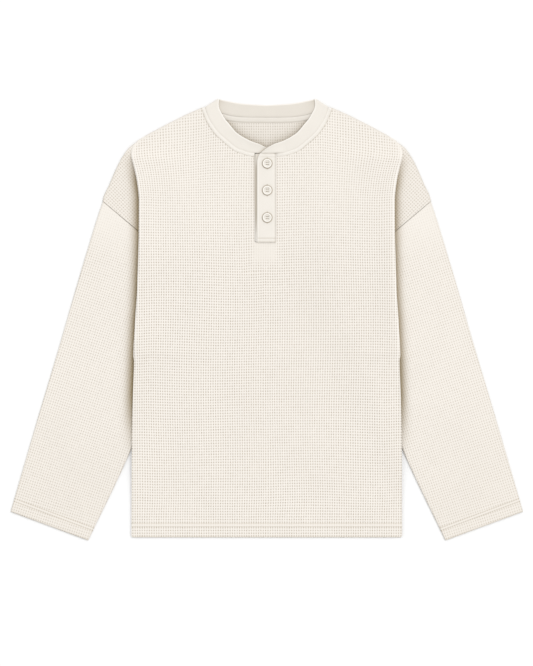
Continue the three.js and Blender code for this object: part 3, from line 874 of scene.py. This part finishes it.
def bump(tree, height, distance, strength, normal=None):
    node = tree.nodes.new("ShaderNodeBump")
    node.inputs["Distance"].default_value = distance
    node.inputs["Strength"].default_value = strength
    tree.links.new(height, node.inputs["Height"])
    if normal is not None:
        tree.links.new(normal, node.inputs["Normal"])
    return node.outputs["Normal"]


# DEEP_SHADE is the colour of painted shade and PALE that of painted highlight, both mixed in by shaded();
# CREAM_SHADE darkens the yarn's specks and, partly as painted shade, the waffle's pits.
CREAM = (0.772, 0.734, 0.682)
CREAM_SHADE = (0.41, 0.345, 0.262)
DEEP_SHADE = (0.265, 0.203, 0.113)
PALE = (0.92, 0.90, 0.865)
TRIM = (0.742, 0.709, 0.657)
RESIN = (0.74, 0.705, 0.645)


def scaled(colour, by):
    return tuple(min(1, c * by) for c in colour)


def attribute(tree, name):
    """A value that the mesh keeps for each point."""
    node = tree.nodes.new("ShaderNodeAttribute")
    node.attribute_name = name
    return node.outputs["Fac"]


def shaded(tree, colour):
    """Darkens a colour by the piece's own shade, as beside a fold, and pales it where that is negative."""
    shade = attribute(tree, "shade")
    darker = mix_colour(tree, shade, colour, DEEP_SHADE)
    return mix_colour(tree, math_node(tree, "MULTIPLY", shade, -1.0), darker, PALE)


def waffle_material():
    """Cream cotton with pits between the ridges darkened, partly as the yarn's own tone and partly as painted
    shade.
    """
    material, tree, shader = nodes_of("waffle_knit")
    uv = tree.nodes.new("ShaderNodeUVMap")
    uv.uv_map = "weave"
    split = tree.nodes.new("ShaderNodeSeparateXYZ")
    tree.links.new(uv.outputs[0], split.inputs[0])
    amount = attribute(tree, "waffle")

    def ridge_along(value):
        wave = math_node(tree, "COSINE", math_node(tree, "MULTIPLY", value, 2 * math.pi))
        return math_node(tree, "ADD", math_node(tree, "MULTIPLY", wave, 0.5), 0.5)

    column, row = (ridge_along(split.outputs[k]) for k in (0, 1))
    low_column = math_node(tree, "SUBTRACT", 1.0, column)
    low_row = math_node(tree, "SUBTRACT", 1.0, math_node(tree, "MULTIPLY", row, 0.74))
    pit = math_node(tree, "MULTIPLY", low_column, low_row)
    pit = math_node(tree, "POWER", pit, 1.8)
    pit = math_node(tree, "MULTIPLY", pit, amount)
    coords = tree.nodes.new("ShaderNodeTexCoord").outputs["Object"]
    uneven = math_node(tree, "MULTIPLY", noise(tree, coords, 170, 1), 1.1)
    deep = math_node(tree, "MULTIPLY", pit, math_node(tree, "ADD", uneven, 0.45))
    cloud = noise(tree, coords, 14, 3)
    yarn = noise(tree, coords, 900, 2)
    fibre = noise(tree, coords, 3200, 2)
    base = mix_colour(tree, cloud, scaled(CREAM, 0.975), scaled(CREAM, 1.02))
    speck = math_node(tree, "MULTIPLY", yarn, 0.12)
    base = mix_colour(tree, speck, base, CREAM_SHADE)
    # The pits are darkened towards CREAM_SHADE, partly as painted shade in the recesses.
    colour = mix_colour(tree, math_node(tree, "MULTIPLY", deep, 0.9), base, CREAM_SHADE)
    tree.links.new(shaded(tree, colour), shader.inputs["Base Color"])
    ridge = math_node(tree, "SUBTRACT", 1.0, pit)
    normal = bump(tree, ridge, 0.0009, 0.8)
    normal = bump(tree, yarn, 0.0002, 0.5, normal)
    normal = bump(tree, fibre, 0.00008, 0.4, normal)
    tree.links.new(normal, shader.inputs["Normal"])
    shader.inputs["Roughness"].default_value = 0.92
    shader.inputs["Specular IOR Level"].default_value = 0.25
    shader.inputs["Sheen Weight"].default_value = 0.2
    shader.inputs["Sheen Roughness"].default_value = 0.5
    return material


def jersey_material():
    """Smooth fine cotton jersey."""
    material, tree, shader = nodes_of("jersey_trim")
    coords = tree.nodes.new("ShaderNodeTexCoord").outputs["Object"]
    cloud = noise(tree, coords, 60, 3)
    yarn = noise(tree, coords, 1400, 2)
    base = mix_colour(tree, cloud, scaled(TRIM, 0.97), scaled(TRIM, 1.025))
    colour = mix_colour(tree, math_node(tree, "MULTIPLY", yarn, 0.16), base, CREAM_SHADE)
    tree.links.new(shaded(tree, colour), shader.inputs["Base Color"])
    normal = bump(tree, yarn, 0.00025, 0.5)
    tree.links.new(normal, shader.inputs["Normal"])
    shader.inputs["Roughness"].default_value = 0.88
    shader.inputs["Specular IOR Level"].default_value = 0.3
    shader.inputs["Sheen Weight"].default_value = 0.2
    return material


def resin_material():
    """Polished cream resin."""
    material, tree, shader = nodes_of("button_resin")
    coords = tree.nodes.new("ShaderNodeTexCoord").outputs["Object"]
    cloud = noise(tree, coords, 220, 3)
    colour = mix_colour(tree, cloud, scaled(RESIN, 0.95), RESIN)
    tree.links.new(shaded(tree, colour), shader.inputs["Base Color"])
    shader.inputs["Roughness"].default_value = 0.38
    shader.inputs["Coat Weight"].default_value = 0.2
    return material


WAFFLE, JERSEY, RESIN_LOOK = waffle_material(), jersey_material(), resin_material()


# Neckband, placket and buttons
def spline(points, steps):
    """A smooth line through points, with so many steps between each two."""
    points = np.asarray(points, float)
    at = np.linspace(0, len(points) - 1, (len(points) - 1) * steps + 1)
    padded = np.concatenate([[2 * points[0] - points[1]], points, [2 * points[-1] - points[-2]]])
    i = np.minimum(at.astype(int), len(points) - 2)
    t = (at - i)[:, None]
    p0, p1, p2, p3 = padded[i], padded[i + 1], padded[i + 2], padded[i + 3]
    return 0.5 * (
        2 * p1 + (p2 - p0) * t + (2 * p0 - 5 * p1 + 4 * p2 - p3) * t * t
        + (3 * p1 - p0 - 3 * p2 + p3) * t * t * t
    )


def loft_loops(name, loops, material, shade=0):
    """A closed piece from equal loops of points, with a shade for each point."""
    loops = np.asarray(loops, float)
    rows, count = loops.shape[:2]
    index = np.arange(rows * count).reshape(rows, count)
    faces = [tuple(q) for q in quads_of(index, ring=True).reshape(-1, 4).tolist()]
    faces += [tuple(range(count))[::-1], tuple(range((rows - 1) * count, rows * count))]
    mesh = bpy.data.meshes.new(name)
    mesh.from_pydata(place(loops.reshape(-1, 3)).tolist(), [], faces)
    store(mesh, "shade", np.broadcast_to(shade, (rows, count)))
    return finish_piece(name, mesh, material, weld=True)


BAND_STEPS = [0, 0.025, 0.06, 0.11, 0.2, 0.35, 0.5, 0.65, 0.78, 0.86, 0.91]
BAND_TILT = 2.6


def band_section(seam, edge, normal, tilt):
    """The band's section as points with a shade: thin at the seam, with a rolled free edge that stands up. The
    shade is painted: darker at the seam, slightly dark all over, and negative along the free edge as a painted
    highlight.
    """
    across = edge - seam
    width = np.linalg.norm(across)
    across = across / width
    half = min(BAND_THICK / 2, width / 2.2)
    outline = []
    for step in BAND_STEPS:
        rise = 0.55 + 0.45 * smooth(step * 9) + 0.12 * smooth((step - 0.7) * 4)
        outline.append((width * step, half * rise))
    angles = np.linspace(0.25, math.pi / 2, 5)
    outline += [(width - half + half * math.sin(a), 1.12 * half * math.cos(a)) for a in angles]
    under = [(x, -y) for x, y in reversed(outline[:-1])]
    points, shades = [], []
    for along, up in outline + under:
        share = along / width
        lift = tilt * share * share
        points.append(seam + across * along + normal * up + np.array([0, 0, lift]))
        # Painted highlight along the free edge, against painted shade at the seam and a slight painted shade
        # over the whole band.
        rim = 0.45 * smooth((share - 0.9) / 0.06)
        shades.append(0.1 * math.exp(-along / 0.9) + 0.05 - rim)
    return points, shades


# The line on which the right half of the band laps over the left, down to the placket's edge
LAP_LINE = [(-1.5, 629.0), (-9.4, 622.7), (-12.3, 619.8), (-14.3, 614.1), (-15.1, 608.5)]


def build_neckband():
    """The neckband as one doubled strip, lapped at the front's middle and turned over at each shoulder."""
    rest_back = BAND_THICK / 2
    rest_front = rest_back + 2 * BAND_FOLD
    up = np.array([0, 0, 1.0])

    def front_height(x, y, hand):
        lap = BAND_LAP * smooth((34 - x) / 20) if hand > 0 else 0
        return rest_front + loft(x, y) * (PLACKET_LOFT - 0.75) / PLACKET_LOFT + lap

    loops, shades = [], []
    for hand in (-1, 1):
        own, own_shades = [], []

        def station(pair, z, normal, tilt=0.0, shift=0.0, shade=0.0, lap=0.0):
            seam = np.array([hand * pair[0], pair[1], z])
            edge = np.array([hand * pair[2], pair[3], z])
            across = (edge - seam) / np.linalg.norm(edge - seam)
            points, tones = band_section(seam + across * GAP + shift, edge + shift, normal, tilt)
            # Painted shadow on the left half beside the line where the right half laps over it.
            if lap:
                off = [(p[:2] - np.array(LAP_LINE[0])) @ (-0.65, 0.76) for p in points]
                tones = [t + lap * math.exp(-max(o, 0) / 1.5) for t, o in zip(tones, off)]
            own.append(points)
            own_shades.append([t + shade for t in tones])

        z = float(front_height(0, 621, hand))
        if hand < 0:
            station((-9.0, 621.3, -9.0, 627.5), z, up, 1.0, lap=0.5)
            station((-4.0, 621.2, -4.0, 628.5), z, up, 1.6, lap=0.5)
        else:
            for x, top in ((-9.8, 622.5), (-7.6, 624.2), (-5.2, 626.2), (-2.6, 628.2)):
                station((x, 621.0, x + 0.4, top), z, up, 1.6 * (top - 621) / 8)
        line = spline([*FRONT_BAND, SHOULDER_BAND], 12)[:-7]
        for pair in line:
            # Stations of the left half near the middle take the lap's painted shadow.
            lap_shadow = 0.6 * (hand < 0) * float(pair[0] < 22)
            tilt = BAND_TILT * (1 - float(smooth((pair[0] - 40) / 50)))
            station(pair, float(front_height(pair[0], pair[1], hand)), up, tilt, lap=lap_shadow)
        seam_x, seam_y, edge_x, edge_y = SHOULDER_BAND
        outward = np.array([hand * (edge_y - seam_y), seam_x - edge_x, 0])
        outward = outward / np.linalg.norm(outward)
        for k in range(13):
            angle = math.pi * k / 12
            normal = outward * math.sin(angle) + up * math.cos(angle)
            shift = -outward * (BAND_FOLD + BAND_THICK / 2) + normal * BAND_FOLD
            # Painted shade inside the neck over the last part of the turn.
            station(SHOULDER_BAND, rest_back + BAND_FOLD, normal, 0.0, shift, 0.25 * smooth((k - 7) / 5))
        back = spline([SHOULDER_BAND, *BACK_BAND], 5)[3:]
        for i, pair in enumerate(back):
            # Painted shade on the inside of the back half, deepest near the shoulders.
            deep = 0.42 * math.exp(-i / 3.0) + 0.12
            station(pair, rest_back, -up, 0.0, 0.0, deep)
        loops.append(own)
        shades.append(own_shades)
    loops, shades = (part[0] + part[1][::-1][1:] for part in (loops, shades))
    return loft_loops("neckband_cloth", loops, JERSEY, shades)


def offset_line(line, distance):
    """A line moved sideways, to the right of its own direction."""
    along = np.gradient(line, axis=0)
    along = along / np.linalg.norm(along, axis=1)[:, None]
    return line + distance * np.stack([along[:, 1], -along[:, 0]], -1)


def evenly(line, pitch):
    """Points along a line at an even spacing."""
    run = np.concatenate([[0], np.cumsum(np.linalg.norm(np.diff(line, axis=0), axis=1))])
    at = np.linspace(0, run[-1], max(2, int(run[-1] / pitch)))
    return np.stack([np.interp(at, run, line[:, k]) for k in (0, 1)], -1)


TAPE_WIDTH = 7.0
TAPE_UNDER = 0.6


def build_tape(name, line, height, hand, width, lines=(0.1, 0.6, -0.2)):
    """A narrow sewn strip beside a seam: a low crown with a dark sewn line along each edge."""
    line = evenly(line, 1.6)
    steps = np.array([0, 0.06, 0.14, 0.28, 0.45, 0.62, 0.74, 0.84, 0.93, 1])
    rises = np.array([0.3, 0.4, 0.5, 0.62, 0.68, 0.6, 0.42, 0.15, 0.05, -0.35])
    across = steps * width
    shade = lines[0] * np.exp(-across / 0.7) + lines[1] * bell(width - 1.0, across, 0.8)
    shade = shade + lines[2] * bell(across / width, 0.45, 0.3)
    rows = []
    for step, rise in zip(steps, rises):
        moved = offset_line(line, step * width - TAPE_UNDER * (1 - step))
        rows.append(np.stack([hand * moved[:, 0], moved[:, 1], height(moved[:, 0], moved[:, 1]) + rise], -1))
    top = np.stack(rows, 1)
    low = top[:, ::-1] - np.array([0, 0, 0.4])
    loops = np.concatenate([top, low], 1)
    shades = np.concatenate([shade, shade[::-1]])[None, :]
    if hand < 0:
        loops = loops[:, ::-1]
        shades = shades[:, ::-1]
    return loft_loops(name, loops, JERSEY, shades)


def sew(name, ends, radius, material, shade=0.0, bow=0.25):
    """One mesh of short threads, each a rounded rod that bows up between its two ends."""
    ends = np.asarray(ends, float)
    sides = 6
    along = ends[:, 1] - ends[:, 0]
    length = np.linalg.norm(along, axis=1)[:, None]
    along = along / length
    side = np.cross(along, [0, 0, 1.0])
    side = side / np.linalg.norm(side, axis=1)[:, None]
    top = np.cross(side, along)
    rings = []
    for t, size in ((0, 0.35), (0.1, 0.85), (0.35, 1), (0.65, 1), (0.9, 0.85), (1, 0.35)):
        centre = ends[:, 0] + along * length * t + top * bow * math.sin(math.pi * t)
        turn = np.linspace(0, 2 * math.pi, sides, endpoint=False)
        ring = [centre + radius * size * (side * math.cos(a) + top * math.sin(a)) for a in turn]
        rings.append(np.stack(ring, 1))
    points = np.stack(rings, 1).reshape(-1, 3)
    each = np.arange(len(rings) * sides).reshape(len(rings), sides)
    quads = quads_of(each, ring=True).reshape(-1, 4)
    faces = []
    per = len(rings) * sides
    for i in range(len(ends)):
        base = i * per
        faces += [tuple(q) for q in (quads + base).tolist()]
        faces += [tuple(range(base, base + sides))[::-1], tuple(range(base + per - sides, base + per))]
    mesh = bpy.data.meshes.new(name)
    mesh.from_pydata(place(points).tolist(), [], faces)
    store(mesh, "shade", np.full(len(points), shade))
    return finish_piece(name, mesh, material)


PLACKET_LEFT, PLACKET_RIGHT = -16.2, 15.0
PLACKET_TOP, PLACKET_FOOT = 623.0, 477.0
PLACKET_THICK = 1.8
BUTTONS = [(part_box(f"button_{i}")[0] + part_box(f"button_{i}")[1]) / (2 * MM) for i in (1, 2, 3)]
BUTTONS = [(p[0], p[1] - HEM_Y / MM) for p in BUTTONS]


def placket_left_at(y):
    """The upper placket's free edge, which leans over to meet the band's lap."""
    x, at = np.array(LAP_LINE[::-1]).T
    return np.interp(y, at, x + (PLACKET_LEFT - x[0]) * np.clip((621 - at) / 12, 0, 1))


def build_upper_placket():
    """The placket that shows: its free edge stands up, its right edge sinks into its seam."""
    heights = np.arange(PLACKET_FOOT, PLACKET_TOP, 0.9)
    steps = np.concatenate([[0.02, 0.045], np.linspace(0.08, 0.92, 34), [0.955, 0.98]])
    loops, shades = [], []
    for y in heights:
        left = float(placket_left_at(y))
        right = PLACKET_RIGHT
        low = LAYER + float(loft(0, y))
        x = left + (right - left) * steps
        rounded = 1 - round_in(np.minimum(x - left, 99), 1.0)
        raised = (0.25 + 0.45 * float(smooth((y - 500) / 60))) * float(smooth((y - 484) / 16))
        raised = raised * (1 - smooth((x - left) / 6))
        sunk = 1.25 * smooth((x - 9.5) / 5.5)
        foot = 0.6 * (1 - float(smooth((y - PLACKET_FOOT) / 1.4)))
        grooves = 0.3 * (bell(y, 484, 0.7) + bell(y, 615.3, 0.6))
        grooves = grooves + 0.25 * bell(y, 478.6, 0.6)
        top = PLACKET_THICK - 0.9 * rounded - sunk + raised - foot - grooves - float(smooth((y - 618.6) / 2))
        # Painted highlight along the free edge; painted shade in the seam at the right, in the sewn lines at the
        # foot and near the top, and where the band's end covers the top; a faint line 4.5 mm in from the free
        # edge.
        shade = 0.02 - 0.35 * np.exp(-((x - left) / 1.3)) + 0.16 * bell(x, 13.4, 1.0)
        shade = shade + 0.34 * bell(y, 484, 0.75) + 0.3 * bell(y, 478.4, 0.8)
        shade = shade + 0.14 * bell(y, 615.3, 0.7) + 0.15 * float(smooth((y - 619) / 2))
        shade = shade + 0.1 * bell(x - left, 4.5, 0.5) * (y < 606)
        for bx, by in BUTTONS:
            apart = np.hypot(x - bx, y - by)
            # Painted shadow in a ring round each button, and painted shade in each buttonhole's groove above and
            # below it.
            shade = shade + 0.75 * bell(apart, 7.7, 0.9)
            hole = bell(x, bx, 0.7) * bell(abs(y - by), 9.1, 0.8)
            shade = shade + 0.5 * hole
            top = top - 0.3 * hole
        points = [(a, y, low + b) for a, b in zip(x, top)]
        under = [(a, y, low + c) for a, c in zip(x[::-1], (0.9 * rounded * 0.5 + raised * 0.9)[::-1])]
        loops.append(points[::-1] + under[::-1])
        shades.append(np.concatenate([shade[::-1], np.full(len(x), 0.3)]))
    return loft_loops("placket_upper_cloth", loops, JERSEY, shades)


def build_under_placket():
    """The placket beneath, which shows only as a shaded strip beside the upper one."""
    left, right = SLIT_LEFT + 0.1, SLIT_RIGHT - 0.2
    steps = np.linspace(0, 1, 16)
    loops, shades = [], []
    for y in np.linspace(478, 620.5, 72):
        low = WALL + GAP + float(loft(0, y))
        x = left + (right - left) * steps
        top = 1.5 - 0.6 * (1 - round_in(x - left, 0.8)) - 0.6 * (1 - round_in(right - x, 0.8))
        deep = 0.5 * float(smooth((y - 480) / 45)) * (1 - 0.5 * float(smooth((y - 596) / 14)))
        loops.append([(a, y, low + b) for a, b in zip(x, top)][::-1] + [(a, y, low) for a in x])
        shades.append(np.full(2 * len(x), deep))
    return loft_loops("placket_under_cloth", loops, JERSEY, shades)


BUTTON_PROFILE = [
    (0, 1.68), (2.4, 1.68), (4.2, 1.72), (4.7, 1.85), (5.0, 2.15), (5.3, 2.42), (5.8, 2.56), (6.4, 2.6),
    (6.9, 2.5), (7.25, 2.25), (7.45, 1.9), (7.5, 1.4), (7.4, 0.9), (7.0, 0.4), (6.3, 0.05), (3, 0), (0, 0),
]
HOLE_SPREAD = 1.75
HOLE_RADIUS = 0.85


def lathe(profile, turns, centre=(0, 0)):
    """Points and faces of a turned form, in millimetres."""
    bm = bmesh.new()
    rings = []
    for radius, z in profile:
        if radius == 0:
            rings.append([bm.verts.new((centre[0], centre[1], z))] * turns)
            continue
        angles = np.linspace(0, 2 * math.pi, turns, endpoint=False)
        rings.append([
            bm.verts.new((centre[0] + radius * math.cos(a), centre[1] + radius * math.sin(a), z)) for a in angles
        ])
    for low, high in zip(rings, rings[1:]):
        for i in range(turns):
            j = (i + 1) % turns
            corners = list(dict.fromkeys([low[i], high[i], high[j], low[j]]))
            bm.faces.new(corners)
    bmesh.ops.recalc_face_normals(bm, faces=bm.faces)
    mesh = bpy.data.meshes.new("turned")
    bm.to_mesh(mesh)
    bm.free()
    return mesh


def build_button(name, x, y):
    """A four-hole button with a raised rim, turned and drilled."""
    blank = add_object("blank", lathe(BUTTON_PROFILE, 64))
    drills = []
    for sx in (-1, 1):
        for sy in (-1, 1):
            spot = (sx * HOLE_SPREAD, sy * HOLE_SPREAD)
            drill = add_object("drill", lathe([(0, 4), (HOLE_RADIUS, 4), (HOLE_RADIUS, -1), (0, -1)], 16, spot))
            cut = blank.modifiers.new("cut", "BOOLEAN")
            cut.operation, cut.solver, cut.object = "DIFFERENCE", "EXACT", drill
            drills.append(drill)
    bpy.context.view_layer.update()
    mesh = bpy.data.meshes.new_from_object(blank.evaluated_get(bpy.context.evaluated_depsgraph_get()))
    for done in (blank, *drills):
        bpy.data.objects.remove(done)
    co = np.empty(len(mesh.vertices) * 3)
    mesh.vertices.foreach_get("co", co)
    co = co.reshape(-1, 3)
    radius = np.hypot(co[:, 0], co[:, 1])
    # Painted shade on the rim's inner edge, on the outer wall and a little in the dish, and a painted highlight
    # on the rim's top.
    shade = 0.35 * bell(radius, 4.95, 0.4) + 0.6 * bell(radius, 7.5, 0.4)
    shade = shade + 0.05 * (radius < 4.6)
    shade = shade - 0.5 * bell(radius, 6.2, 0.7)
    slope = (loft(0, y + 7.5) - loft(0, y - 7.5)) / 15
    seat = LAYER + PLACKET_THICK + GAP * 0.5 + loft(0, y)
    co = np.stack([co[:, 0] + x, co[:, 1] + y, co[:, 2] + seat + co[:, 1] * slope], -1)
    mesh.vertices.foreach_set("co", place(co).ravel())
    store(mesh, "shade", shade)
    mesh.materials.clear()
    return finish_piece(name, mesh, RESIN_LOOK, sharp=35), seat, slope


def button_threads(x, y, seat, slope):
    """The two bars of thread across the holes, as ends of short threads."""
    ends = []
    for sy in (-HOLE_SPREAD, HOLE_SPREAD):
        for k in (-0.35, 0, 0.35):
            z = seat + 1.75 + (sy + k) * slope
            ends.append([(x - HOLE_SPREAD, y + sy + k, z), (x + HOLE_SPREAD, y + sy + k, z)])
    return ends


# Assembling
def dress(piece, slot, *nodes):
    """Puts a piece on the body and hides the nodes that it takes the place of. Its slot is not used."""
    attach(piece, "root")
    if nodes:
        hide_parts(*nodes)
    return piece


front = dress(build_panel("front_cloth", 1, WAFFLE), "waffle_knit", "front")
back = dress(build_panel("back_cloth", -1, WAFFLE), "waffle_knit", "back")
sleeves = [
    dress(build_sleeve(f"{side}_cloth", hand, WAFFLE), "waffle_knit", side)
    for side, hand in (("sleeve_left", 1), ("sleeve_right", -1))
]
dress(build_neckband(), "jersey_trim", "neckband")

dress(build_upper_placket(), "jersey_trim", "placket_upper")
dress(build_under_placket(), "jersey_trim", "placket_under")
threads = []
for i, (x, y) in enumerate(BUTTONS, 1):
    button, seat, slope = build_button(f"button_{i}_turned", x, y)
    dress(button, "button_resin", f"button_{i}")
    threads += button_threads(x, y, seat, slope)
dress(sew("button_threads", threads, 0.32, JERSEY, 0.5, 0.35), "jersey_trim")

# The tapes that cover the neck seam, in front on the outside and behind on the inside
TAPE_SUNK = 0.25
STITCH_PITCH = 2.2
BACK_TAPE_WIDTH = 8.6
BACK_TAPE_HEIGHT = 0.6

seam_line = spline([p[:2] for p in (*FRONT_BAND, SHOULDER_BAND)], 10)
stitches = []
for side, hand, start in (("left", 1, 15.4), ("right", -1, 19.8)):
    line = seam_line[seam_line[:, 0] >= start]

    def height(x, y, hand=hand):
        return front_top(hand * x, y) - TAPE_SUNK

    dress(build_tape(f"neck_tape_{side}", line, height, hand, TAPE_WIDTH), "jersey_trim")
    inner, outer = (evenly(offset_line(line, off), STITCH_PITCH) for off in (1.2, TAPE_WIDTH - 1.0))
    pairs = min(len(inner), len(outer))
    for a, b in zip(inner[:pairs - 1], outer[1:pairs]):
        ends = [[hand * q[0], q[1], float(height(q[0], q[1])) + lift] for q, lift in ((a, 0.5), (b, 0.25))]
        stitches.append(ends)
back_line = spline([p[:2] for p in BACK_BAND[::-1]], 10)
whole = np.concatenate([back_line[::-1] * [-1, 1], back_line[1:]])


def back_height(x, y):
    return np.full(np.shape(x), BACK_TAPE_HEIGHT)


back_tape = build_tape("neck_tape_back", whole, back_height, 1, BACK_TAPE_WIDTH, (-0.12, 0.34, 0.14))
dress(back_tape, "jersey_trim")
dress(sew("neck_stitches", stitches, 0.24, JERSEY, 0.1, 0.45), "jersey_trim")


# Floor, light and camera
IMAGE_HEIGHT_PX = 666
PIXEL = 1.62 * MM
CAMERA_AT = (-0.0005, -0.0220, 3.0)
SENSOR = 36.0
FLOOR_HALF = 4
FLOOR_Z = -0.0004
FLOOR_GREY = 0.805
SKY = 0.95
KEY_FROM = (0.8, 0.9, 2.2)
KEY_SPREAD = 45
KEY_STRENGTH = 1.25

floor_mesh = bpy.data.meshes.new("floor")
floor_corners = [(FLOOR_HALF * x, FLOOR_HALF * y, FLOOR_Z) for x, y in ((-1, -1), (1, -1), (1, 1), (-1, 1))]
floor_mesh.from_pydata(floor_corners, [], [(0, 1, 2, 3)])
floor = add_object("floor", floor_mesh)
floor_look, _, floor_shader = nodes_of("floor_paper")
floor_shader.inputs["Base Color"].default_value = (FLOOR_GREY, FLOOR_GREY, FLOOR_GREY, 1)
floor_shader.inputs["Roughness"].default_value = 1.0
floor_shader.inputs["Specular IOR Level"].default_value = 0.0
floor_mesh.materials.append(floor_look)

world = bpy.data.worlds.new("studio")
world.use_nodes = True
world.node_tree.nodes["Background"].inputs[0].default_value = (1, 1, 1, 1)
world.node_tree.nodes["Background"].inputs[1].default_value = SKY
bpy.context.scene.world = world


def softbox(name, direction, spread, strength):
    """A broad even light from a direction, as wide as an angle in degrees."""
    data = bpy.data.lights.new(name, "SUN")
    data.angle = math.radians(spread)
    data.energy = strength
    lamp = add_object(name, data)
    lamp.location = direction
    lamp.rotation_euler = (-Vector(direction)).to_track_quat("-Z", "Y").to_euler()


softbox("key", KEY_FROM, KEY_SPREAD, KEY_STRENGTH)

camera_data = bpy.data.cameras.new("camera")
camera_data.sensor_width = SENSOR
camera_data.lens = SENSOR * CAMERA_AT[2] / (IMAGE_HEIGHT_PX * PIXEL)
camera = add_object("camera", camera_data)
camera.location = CAMERA_AT
bpy.context.scene.camera = camera
bpy.context.scene.view_settings.view_transform = "Standard"
